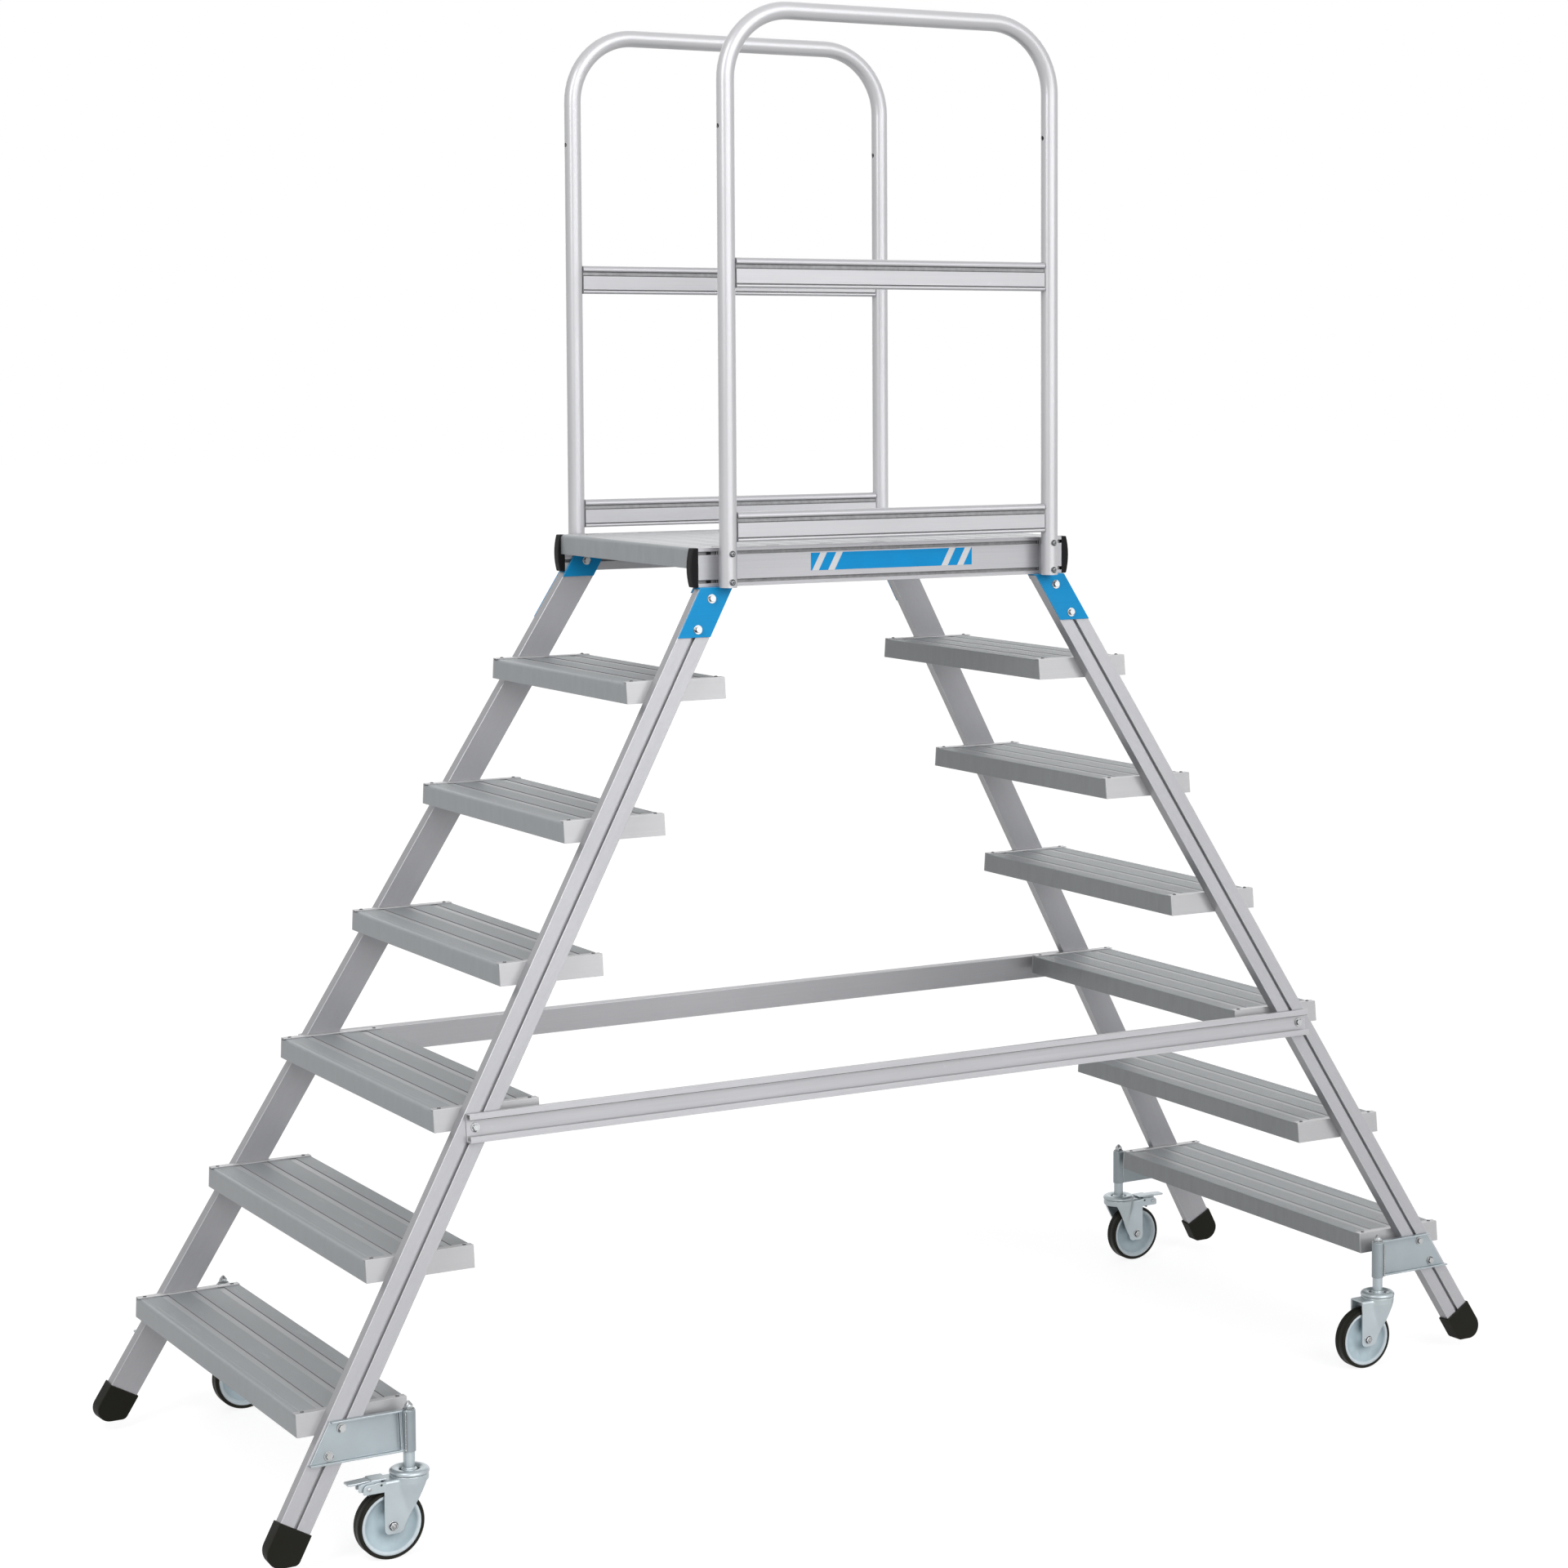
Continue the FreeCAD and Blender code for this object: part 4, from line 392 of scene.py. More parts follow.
def rounded_box(low, high, radius, steps=5):
    """Outline of a rectangle with round corners."""
    (x0, y0), (x1, y1) = low, high
    corners = [(x1 - radius, y0 + radius, -90), (x1 - radius, y1 - radius, 0),
               (x0 + radius, y1 - radius, 90), (x0 + radius, y0 + radius, 180)]
    return [point for x, y, start in corners for point in arc((x, y), radius, start, start + 90, steps)]


def hexagon(across):
    return arc((0, 0), across / 2, 0, 300, 5)


def finish_piece(made, body, looks, node, bevel, smooth, steps=2):
    """Gives a new object its materials, worn edges, shading and body."""
    mesh = made.data
    for key in looks:
        mesh.materials.append(materials[key])
    mesh.polygons.foreach_set("use_smooth", [True] * len(mesh.polygons))
    mesh.set_sharp_from_angle(angle=math.radians(smooth))
    bpy.context.scene.collection.objects.link(made)
    edge_look = worn_edges.get(looks[0])
    if bevel:
        if edge_look:
            mesh.materials.append(materials[edge_look])
        rounding = made.modifiers.new("rounding", "BEVEL")
        rounding.width = bevel * MM
        rounding.segments = steps
        rounding.limit_method = "ANGLE"
        rounding.angle_limit = BEVEL_FROM
        rounding.use_clamp_overlap = False
        rounding.material = len(mesh.materials) - 1 if edge_look else -1
        flatten = made.modifiers.new("even_shading", "WEIGHTED_NORMAL")
        flatten.keep_sharp = True
        flatten.weight = 90
    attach(made, body)
    if node:
        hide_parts(node)
    return made


def piece(name, parts, body, look, node=None, bevel=0.0, smooth=SMOOTH_BELOW, weld=False):
    """Makes an object of (points, faces, slot index) parts, given in millimetres."""
    points, faces, slots = [], [], []
    for part in parts:
        start = len(points)
        points += part[0]
        faces += [tuple(start + i for i in face) for face in part[1]]
        index = part[2] if len(part) > 2 else 0
        slots += index if isinstance(index, list) else [index] * len(part[1])
    mesh = bpy.data.meshes.new(name)
    mesh.from_pydata([point * MM for point in points], [], faces)
    mesh.polygons.foreach_set("material_index", slots)
    cleaned = bmesh.new()
    cleaned.from_mesh(mesh)
    if weld:
        bmesh.ops.remove_doubles(cleaned, verts=cleaned.verts, dist=SAME_POINT)
    bmesh.ops.recalc_face_normals(cleaned, faces=cleaned.faces)
    cleaned.to_mesh(mesh)
    cleaned.free()
    looks = look if isinstance(look, list) else [look]
    return finish_piece(bpy.data.objects.new(name, mesh), body, looks, node, bevel, smooth)


# Sheet and profile parts: the CAD shape with rounded, worn edges and painted shade in its recesses

RECESS_REACH = 9.0
RECESS_HITS = 5                     # blocked ways out that make a face a recess
PROBE_LIFT = 0.0003
PROBES = [Vector(direction).normalized() for direction in
          ((0, 0, 1), (1, 0, 1), (-1, 0, 1), (0, 1, 1), (0, -1, 1),
           (1, 1, 1), (-1, 1, 1), (1, -1, 1), (-1, -1, 1))]
FLAT_WITHIN = math.radians(0.6)


def recessed(tree, face):
    """Whether most ways out of a face run into the same part within a short reach."""
    middle = face.calc_center_median() + face.normal * PROBE_LIFT
    turn = face.normal.to_track_quat("Z", "Y")
    hits = sum(tree.ray_cast(middle, turn @ probe, RECESS_REACH * MM)[0] is not None for probe in PROBES)
    return hits >= RECESS_HITS


def dressed(node, looks, bevel, steps=2, sort=recessed):
    """Stands in for a CAD node with the same shape, but with rounded edges and painted shade on the faces in
    its recesses.
    """
    shape = bmesh.new()
    shape.from_mesh(nodes[node].data)
    bmesh.ops.remove_doubles(shape, verts=shape.verts, dist=2 * SAME_POINT)
    bmesh.ops.dissolve_limit(shape, angle_limit=FLAT_WITHIN, verts=shape.verts, edges=shape.edges)
    shape.normal_update()
    tree = BVHTree.FromBMesh(shape)
    for face in shape.faces:
        # Faces in a recess take the second look, painted shade for the slot or groove.
        face.material_index = 1 if len(looks) > 1 and sort(tree, face) else 0
    mesh = bpy.data.meshes.new(node)
    shape.to_mesh(mesh)
    shape.free()
    made = bpy.data.objects.new(f"{node}_finished", mesh)
    body = next(key for key, names in frame["record"]["behaviour"]["bodies"].items() if node in names)
    return finish_piece(made, body, looks, node, bevel, SMOOTH_BELOW, steps)


def hardware(node, axis, name, least, smallest):
    """Stands in for bolts or rivets: bright ends along the axis; sides and small faces in a dark copy of the
    steel, as painted shade.
    """
    def dark(_, face):
        return abs(face.normal.dot(axis)) < least or face.calc_area() < smallest

    made = dressed(node, ["bright_steel", "bolt_side"], 0.25, sort=dark)
    made.name = name
    return made


# Treads and deck

TREAD_COUNT = 6
TREAD_GROOVES = (51, 106, 161)      # groove middles behind the front edge
DECK_GROOVES, DECK_MARGIN = 14, 46  # grooves, and the outer ones' middles from the edges
GROOVE_WIDTH = 14.0
GROOVE_DEPTH = 1.0
DECK_GROOVE_DEPTH = 0.4
GROOVE_WALL = 0.9                   # how far a groove's wall leans over its depth
NOSE_RADIUS = 7.0
NOSE_LINE = 14.5                    # fine line behind the front edge
LINE_HALF, LINE_DEPTH = 0.7, 0.8
BACK_ROUND = 1
# SHADE is painted shade on the groove walls that face the nose.
PLAIN, KNURLED, FRONT, SHADED_BACK, SHADE = 0, 1, 2, 3, 4      # looks of a tread, in their order
FLARE = math.tan(math.radians(6.28))


def ribbed_top(grooves, lines, depth, nose_wall):
    """Upper outline from the front edge to the back, as (across, drop, look of the run after it)."""
    marks = []
    for middle in grooves:
        near, far = middle - GROOVE_WIDTH / 2, middle + GROOVE_WIDTH / 2
        marks += [(near, 0, KNURLED), (near + GROOVE_WALL, depth, PLAIN),
                  (far - GROOVE_WALL, depth, nose_wall), (far, 0, KNURLED)]
    for middle in lines:
        marks += [(middle - LINE_HALF, 0, PLAIN), (middle, LINE_DEPTH, PLAIN),
                  (middle + LINE_HALF, 0, KNURLED)]
    return sorted(marks)


def ribbed_profile(length, height, grooves, lines, both_ends, depth, nose_wall):
    """Closed outline of a tread: nose, ribbed top, back and underside."""
    nose = [(NOSE_RADIUS * (1 - math.sin(a)), NOSE_RADIUS * (1 - math.cos(a)), FRONT)
            for a in (math.radians(d) for d in (90, 75, 60, 45, 30, 15))]
    points = [(0, height, FRONT)] + nose + [(NOSE_RADIUS, 0, KNURLED)]
    points += ribbed_top(grooves, lines, depth, nose_wall)
    if both_ends:
        points += [(length - NOSE_RADIUS, 0, FRONT)]
        points += [(length - u, w, FRONT) for u, w, _ in reversed(nose)] + [(length, height, PLAIN)]
    else:
        # The back face takes the darker back look, painted shade.
        points += [(length - BACK_ROUND, 0, FRONT), (length, BACK_ROUND, SHADED_BACK), (length, height, PLAIN)]
    return points


def ribbed_part(profile, front, direction, top, half_at_top, slope):
    """Extrudes the outline across the stand, its ends leaning with the stiles."""
    rings = []
    for side in (-1, 1):
        rings.append([(front + direction * u, side * (half_at_top + slope * w), top - w)
                      for u, w, _ in profile])
    points, faces = loft(rings)
    looks = [look for _, _, look in profile] + [PLAIN, PLAIN]
    return points, faces, looks


def build_treads():
    looks = ["tread_plain", "tread_knurled", "tread_front", "tread_back", "slot_shadow"]
    for end, sign in ENDS.items():
        for number in range(1, TREAD_COUNT + 1):
            node = f"tread_{end}_{number}"
            low, high = box_of(node)
            front = high.x if sign > 0 else low.x
            height, depth = high.z - low.z, high.x - low.x
            profile = ribbed_profile(depth, height, TREAD_GROOVES, (NOSE_LINE,), False, GROOVE_DEPTH, SHADE)
            half_at_top = high.y - FLARE * height
            part = ribbed_part(profile, front, -sign, high.z, half_at_top, FLARE)
            piece(f"ribbed_tread_{end}_{number}", [part], "frame", looks, node, bevel=0.2)


def build_deck():
    low, high = box_of("platform_deck")
    length, height = high.x - low.x, high.z - low.z
    pitch = (length - 2 * DECK_MARGIN) / (DECK_GROOVES - 1)
    grooves = [DECK_MARGIN + pitch * i for i in range(DECK_GROOVES)]
    lines = (NOSE_LINE, length - NOSE_LINE)
    profile = ribbed_profile(length, height, grooves, lines, True, DECK_GROOVE_DEPTH, PLAIN)
    part = ribbed_part(profile, low.x, 1, high.z, high.y, 0)
    looks = ["deck_plain", "deck_knurled", "tread_front"]
    piece("ribbed_deck", [part], "frame", looks, "platform_deck", bevel=0.2)


# Castors: local X points to the trailing side, Y outward, Z up from the floor

TRAIL, WHEEL_RADIUS = 38.0, 60.5
LEG_PLANE, FORK_SHEET = 20.0, 3.5
HOOD_TOP, HOOD_BACK, HOOD_BEND = 140.0, 53.0, 4.5
NECK_RADIUS, NECK_BLEND = 33.0, 6.0
LEG_FLAT_BELOW, LEG_FADE, FADE_POWER = 72.0, 58.0, 0.8      # the neck dies away over this height
LEG_INSET, LEG_BLEND = 1.5, 5.0
LEG_COLUMNS, COLUMN_POWER = 34, 1.7
HINGE = (78.5, 130.7)
EAR_SHEET = FORK_SHEET - 0.4
LEADING_EDGE = ((-21.0, 131.0), (17.0, 57.0))
LEG_BOTTOM, LEG_TOE_RADIUS, LEG_HEEL_RADIUS = 46.0, 11.0, 10.0
NECK_ROWS = (134.6, 133.8, 133.0, 132.2, 131.5)
TOE_ROWS = (56.5, 54.0, 51.5, 49.3, 47.8, 46.8, 46.2, LEG_BOTTOM)
# The groove between the neck and the ring is drawn in dark steel as painted shade.
CROWN_GAP = (141.7, 143.7)          # dark gap between the neck and the ring above it
# The rim ring's lighter colour is painted light.
RING_FROM = 47.0                    # radius where the rim's bright ring starts
WHEEL_CENTRE = Matrix.Translation((TRAIL, 0, WHEEL_RADIUS)) @ Matrix.Rotation(math.radians(-90), 4, "X")
STAND_UP = Matrix.Rotation(math.radians(90), 4, "X")


def swivel_axis(end, side):
    low, high = box_of(f"castor_stem_{end}_{side}")
    return Matrix.Translation(((low.x + high.x) / 2, (low.y + high.y) / 2, 0))


def castor_place(end, side):
    return swivel_axis(end, side) @ Matrix.Rotation(math.pi if side == "near" else 0, 4, "Z")


def bracket_place(end, side):
    """As castor_place, but X points along the bracket's web, from the tube to the stile."""
    return swivel_axis(end, side) @ Matrix.Diagonal((ENDS[end], SIDES[side], 1, 1))


def neck_radius(z):
    """Radius of the round neck, which dies away into the flat leg below it."""
    fade = min(1.0, max(0.0, (z - LEG_FLAT_BELOW) / LEG_FADE))
    return LEG_PLANE - LEG_INSET + (NECK_RADIUS - LEG_PLANE + LEG_INSET) * fade ** FADE_POWER


def leg_span(z):
    """Leading and trailing edge of the leg at a height."""
    (x0, z0), (x1, z1) = LEADING_EDGE
    front = x0 + (z0 - z) / (z0 - z1) * (x1 - x0)
    if z > z0:
        front = x0 - (NECK_RADIUS + x0) * math.sin(math.pi / 2 * min(1.0, (z - z0) / NECK_BLEND))
    elif z < z1:
        front = x1 + LEG_TOE_RADIUS - math.sqrt(max(0.0, LEG_TOE_RADIUS ** 2 - (z1 - z) ** 2))
    back = HOOD_BACK
    below = LEG_BOTTOM + LEG_HEEL_RADIUS - z
    if below > 0:
        back -= LEG_HEEL_RADIUS - math.sqrt(max(0.0, LEG_HEEL_RADIUS ** 2 - below ** 2))
    return front, back


def leg_row(z, inset=0.0):
    """Points along the leg at a height, from its leading to its trailing edge, moved inward by inset."""
    front, back = leg_span(z)
    radius = neck_radius(z)
    row = []
    for j in range(LEG_COLUMNS + 1):
        x = front + (back - front) * (j / LEG_COLUMNS) ** COLUMN_POWER
        y = math.sqrt(max(0.0, radius ** 2 - x ** 2))
        if x > 0:
            gap = y - LEG_PLANE
            y = (y + LEG_PLANE + math.sqrt(gap ** 2 + LEG_BLEND)) / 2
            row.append((x, y - inset))
        else:
            shrink = 1 - inset / max(radius, 1.0)
            row.append((x * shrink, y * shrink))
    return row


def shell(outer, inner):
    """Closed solid between two equal grids of points; it stays open where it meets its mirror image."""
    rows, columns = len(outer), len(outer[0])
    points = [Vector(p) for grid in (outer, inner) for row in grid for p in row]
    back = rows * columns
    faces = []
    for i in range(rows - 1):
        for j in range(columns - 1):
            a = i * columns + j
            quad = (a, a + 1, a + columns + 1, a + columns)
            faces.append(quad)
            faces.append(tuple(back + k for k in reversed(quad)))
    rim = list(range(columns))
    rim += [i * columns + columns - 1 for i in range(1, rows)]
    rim += [(rows - 1) * columns + j for j in range(columns - 2, -1, -1)]
    rim += [i * columns for i in range(rows - 2, 0, -1)]
    for a, b in zip(rim, rim[1:] + rim[:1]):
        face = (b, a, back + a, back + b)
        if any(abs(points[k].y) > 0.001 for k in face):
            faces.append(face)
    return points, faces


def fork_leg(side):
    outer, inner = [], []
    bend_start = HOOD_TOP - HOOD_BEND
    for share in (0.0, 0.35, 0.7):
        row = leg_row(bend_start, HOOD_BEND)
        outer.append([(x * (share if x < 0 else 1), side * y * share, HOOD_TOP) for x, y in row])
        row = leg_row(bend_start, HOOD_BEND + 1)
        inner.append([(x * (share if x < 0 else 1), side * y * share, HOOD_TOP - FORK_SHEET) for x, y in row])
    for degrees in (0, 22, 45, 68):
        bend = math.radians(degrees)
        inset = HOOD_BEND * (1 - math.sin(bend))
        z = bend_start + HOOD_BEND * math.cos(bend)
        outer.append([(x, side * y, z) for x, y in leg_row(bend_start, inset)])
        row = leg_row(bend_start, max(inset, FORK_SHEET))
        inner.append([(x, side * y, min(z, HOOD_TOP - FORK_SHEET)) for x, y in row])
    flat_rows = [131.0 - i * 3.0 for i in range(25)]
    for z in (bend_start, *NECK_ROWS, *flat_rows, *TOE_ROWS):
        outer.append([(x, side * y, z) for x, y in leg_row(z)])
        inner.append([(x, side * y, z) for x, y in leg_row(z, FORK_SHEET)])
    return shell(outer, inner)


def crown_part():
    """Round neck with the swelling ring round its mouth."""
    neck = [(29.4, 131.5), (32.6, 131.0), (33.3, 134.4), (33.3, 141.8), (32.4, 142.3), (32.0, 143.6)]
    outside = oval((27.0, 145.6), (7.5, 6.2), range(-20, 91, 8))
    inside = oval((27.0, 147.6), (9.8, 4.2), range(98, 181, 8))
    lip = [(17.2, 146.6), (18.2, 146.0), (29.4, 145.6)]
    points, faces = lathe(neck + outside + inside + lip, 96)
    looks = []
    # Faces in the groove under the ring take dark steel, painted shade.
    for face in faces:
        heights = [points[k][2] for k in face]
        looks.append(2 if min(heights) > CROWN_GAP[0] and max(heights) < CROWN_GAP[1] else 0)
    return points, faces, looks


def ear_part(side):
    """Plate beside the pedal, let into the fork leg."""
    outline = [(50.0, 139.0), (61.0, 139.6), (67.5, 139.4), (70.0, 138.2), (73.0, 138.8)]
    outline += oval((80.5, 130.2), (10.2, 8.6), range(90, -1, -10))
    outline += [(90.9, 123.6), (90.0, 122.2), (88.5, 121.8), (50.0, 121.5)]
    outer = LEG_PLANE if side > 0 else -LEG_PLANE + EAR_SHEET
    return placed(prism(outline, 0.0, EAR_SHEET), Matrix.Translation((0, outer, 0)) @ STAND_UP)


def hole_shade_disc(x, z, radius, side):
    """Thin disc on the outside of a leg, in dark steel as painted shade in place of a drilled hole."""
    disc = lathe([(0.0, 0.0), (radius, 0.0), (radius, 0.25), (0.0, 0.25)], 20)
    outward = LEG_PLANE + (0.17 if side > 0 else 0.07)
    return placed(disc, Matrix.Translation((x, side * outward, z)) @ STAND_UP)


def fork_parts(braked):
    parts = [(*part, 0) for part in (fork_leg(-1), fork_leg(1))] + [crown_part()]
    if braked:
        parts += [(*ear_part(side), 0) for side in (-1, 1)]
        half = [(2.5, 20.0), (3.9, 20.0), (4.1, 20.6), (3.4, 21.8), (1.8, 22.3), (0.0, 22.4)]
        pin = lathe([(r, -z) for r, z in reversed(half)] + half, 24)
        across = Matrix.Translation((HINGE[0] + 2, 0, HINGE[1])) @ STAND_UP
        parts.append((*placed(pin, across), 1))
        parts += [(*hole_shade_disc(58.5, 134.8, 2.6, side), 2) for side in (-1, 1)]
    return parts


def rim_part():
    """Dished rim from its bore to the ring that holds the tyre, with the ring, a lighter copy of the rim
    plastic as painted light, as its second look.
    """
    half = [(4.2, 15.5), (11.4, 15.5), (12.6, 15.1), (13.6, 14.2), (15.2, 11.6), (17.4, 8.2), (20.0, 4.6),
            (23.0, 2.2), (26.5, 1.2), (31.0, 1.3), (35.5, 2.1), (39.5, 3.6), (42.8, 5.8), (45.4, 8.4),
            (47.2, 11.0), (48.4, 12.7), (49.3, 13.5), (50.2, 13.9), (52.4, 13.8), (53.4, 13.4), (53.95, 12.4)]
    outline = half + [(r, -w) for r, w in reversed(half)]
    points, faces = lathe(outline, 112)
    looks = [int(math.hypot(points[face[0]].x, points[face[0]].y) > RING_FROM) for face in faces]
    return points, faces, looks


def tyre_part():
    half = [(54.0, 12.2), (54.05, 13.4), (54.5, 14.1), (55.2, 14.45)] + arc((55.6, 9.6), 4.9, 90, 6, 9)
    half += [(60.5, 8.0), (60.5, 0.5), (60.3, 0.0)]
    return lathe(half + [(r, -w) for r, w in reversed(half[:-1])], 144)


NUT_CHAMFER, NUT_TOP_SHARE = 0.7, 0.88
END_FACE = 0.35                     # faces that rise less than this are ends


def hex_nut(across, low, high):
    """Hexagon with chamfered corners, about Z."""
    rings = []
    for height, scale in ((low, 1.0), (high - NUT_CHAMFER, 1.0), (high, NUT_TOP_SHARE)):
        rings.append([(x * scale, y * scale, height) for x, y in hexagon(across)])
    return loft(rings)


def dark_sided(part):
    """Gives a turned or six-sided part about Z its first look on the ends and its second on the sides, where
    it serves as painted shade.
    """
    points, faces = part
    looks = []
    for face in faces:
        heights = [points[k][2] for k in face]
        looks.append(int(max(heights) - min(heights) > END_FACE))
    return points, faces, looks


def axle_parts():
    washer = [(4.0, 20.1), (8.3, 20.1), (8.6, 20.4), (8.6, 21.2), (8.3, 21.5), (4.0, 21.5)]
    washers = [lathe(washer, 40), lathe([(r, -z) for r, z in washer], 40)]
    parts = [hex_nut(14.6, 21.5, 24.6)]
    parts.append(lathe([(0.0, 24.2), (3.0, 24.2), (4.4, 24.2), (4.2, 25.0), (3.0, 25.6), (0.0, 25.7)], 32))
    parts.append(placed(hex_nut(14.6, 21.5, 25.4), Matrix.Rotation(math.pi, 4, "X")))
    parts.append(lathe([(0, -26.4), (2.8, -26.4), (3.9, -25.4), (3.9, 20.5), (0, 20.5)], 32))
    # Washers and the nuts' sides take the dark copy of the steel as painted shade.
    return [(*part, 1) for part in washers] + [dark_sided(part) for part in parts]


def stem_parts():
    stem = [(0, 132.3), (8.5, 132.3), (9.8, 133.2), (9.8, 135.4), (9.0, 136.1), (5.9, 136.2), (5.9, 140.4),
            (26.5, 140.4), (27.0, 140.9), (27.0, 144.8), (26.5, 145.2), (15.2, 145.4), (13.9, 146.2),
            (13.9, 148.4), (13.2, 149.6), (11.0, 150.2), (10.0, 151.6), (10.0, 198.7), (9.2, 199.5),
            (5.0, 199.5), (5.0, 258.0), (0, 258.0)]
    clip = [(5.2, 251.9), (10.0, 251.9), (10.9, 252.5), (10.9, 253.1), (10.0, 253.7), (5.2, 253.7)]
    parts = [(*lathe(stem, 64), 0), (*lathe(clip, 40), 1)]
    parts.append((*hex_nut(17.0, 253.8, 259.6), 2))
    acorn = [(0, 259.0), (7.2, 259.0), (7.0, 260.4), (5.9, 262.2), (4.1, 264.1), (2.8, 265.8), (1.6, 266.9),
             (0, 267.2)]
    parts.append((*lathe(acorn, 40), 2))
    return parts


SPRING = {"bottom": 199.5, "top": 245.2, "radius": 7.7, "wire": 1.5, "turns": 5, "travel": 20.0}
SPRING_STEPS, WIRE_SIDES = 20, 10


def coil_part():
    """Open coil round the stem's rod, on the stem's axis."""
    count = SPRING["turns"] * SPRING_STEPS
    start = SPRING["bottom"] + SPRING["wire"]
    rise = SPRING["top"] - SPRING["bottom"] - 2 * SPRING["wire"]
    rings = []
    for i in range(count + 1):
        along = math.tau * i / SPRING_STEPS
        ring = []
        for k in range(WIRE_SIDES):
            around = math.tau * k / WIRE_SIDES
            reach = SPRING["radius"] + SPRING["wire"] * math.cos(around)
            height = start + rise * i / count + SPRING["wire"] * math.sin(around)
            ring.append((reach * math.cos(along), reach * math.sin(along), height))
        rings.append(ring)
    return loft(rings)


def build_springs():
    """Coils that ride on their stems."""
    for end, side in CORNERS:
        corner = f"{end}_{side}"
        place = castor_place(end, side)
        coil = piece(f"coil_spring_{corner}", [placed(coil_part(), place)], f"stem_{corner}", "dark_steel",
                     f"castor_spring_{corner}", smooth=60)
        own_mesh(coil)


# The pedal's plate, as its place along X, half width, underside and top
PEDAL_ROWS = (
    (46.0, 13.6, 141.7, 144.0), (47.4, 15.2, 141.7, 144.0), (58.0, 15.4, 141.7, 144.1),
    (72.6, 15.4, 141.7, 144.1), (74.2, 14.8, 141.5, 144.0), (76.0, 11.8, 140.4, 143.6),
    (77.6, 11.2, 139.8, 143.2), (98.0, 11.2, 139.2, 142.6), (108.0, 11.2, 138.8, 142.2),
    (113.0, 10.8, 138.9, 142.2), (115.0, 9.8, 139.1, 142.2))
PEDAL_FOLD = ((56.0, 142.2), (76.0, 142.2), (92.0, 140.2), (97.4, 138.0), (98.0, 128.0), (96.0, 126.4),
              (86.0, 125.4), (78.5, 124.6), (72.0, 127.4), (60.0, 136.0))
PEDAL_FOLDS = ((-15.2, 87.0), (12.9, 98.0))     # each folded side's place across, and where it ends
PEDAL_SHEET = 2.3
PEDAL_CHAMFER = (0.6, 0.5)


def pedal_parts():
    """Brake pedal: tread plate that narrows to its tip, its folded sides, and the brake lobe."""
    rows = []
    for x, half, low, high in PEDAL_ROWS:
        shoulder, flat = high - PEDAL_CHAMFER[1], half - PEDAL_CHAMFER[0]
        rows.append([(x, -half, low), (x, half, low), (x, half, shoulder), (x, flat, high),
                     (x, -flat, high), (x, -half, shoulder)])
    parts = [loft(rows)]
    for across, limit in PEDAL_FOLDS:
        outline = [(min(x, limit), z) for x, z in PEDAL_FOLD]
        place = Matrix.Translation((0, across + PEDAL_SHEET, 0)) @ STAND_UP
        parts.append(placed(prism(outline, 0.0, PEDAL_SHEET), place))
    hinge = Matrix.Translation((HINGE[0], 0, HINGE[1])) @ STAND_UP
    parts.append(placed(lathe([(2.55, -15.4), (5.2, -15.4), (5.2, 15.4), (2.55, 15.4)], 32), hinge))
    lobe = arc((0.0, 0.0), 17.4, 216, 258, 8) + [(3.5, -3.5), (4.5, 11.3), (-4.5, 11.3), (-4.9, 1.5)]
    lobe_part = placed(prism(lobe, -4.5, 4.5), hinge)
    return [(*part, 0) for part in parts] + [(*lobe_part, 1)]


BEAD_STEPS, BEAD_SIDES = 60, 10
BEAD_FOOT, BEAD_LENGTH, BEAD_RADIUS = 182.0, 67.0, 1.5


def weld_bead():
    """Uneven bead down the joint of the guide tube and its bracket."""
    rings = []
    for i in range(BEAD_STEPS + 1):
        share = i / BEAD_STEPS
        height = BEAD_FOOT + BEAD_LENGTH * share
        wobble = 0.15 * math.sin(i * 1.9) + 0.12 * math.sin(i * 0.83 + 1.0)
        radius = BEAD_RADIUS + 0.16 * math.sin(i * 1.37) + (0.4 if i < 3 else 0.0)
        if i in (0, BEAD_STEPS):
            radius *= 0.5
        middle = Vector((9.6 + wobble, 10.0 + 0.3 * wobble, height))
        ring = []
        for k in range(BEAD_SIDES):
            a = math.tau * k / BEAD_SIDES
            ripple = 0.25 * math.sin(3 * a + i)
            ring.append(middle + Vector((radius * math.cos(a), radius * math.sin(a), ripple)))
        rings.append(ring)
    return loft(rings)


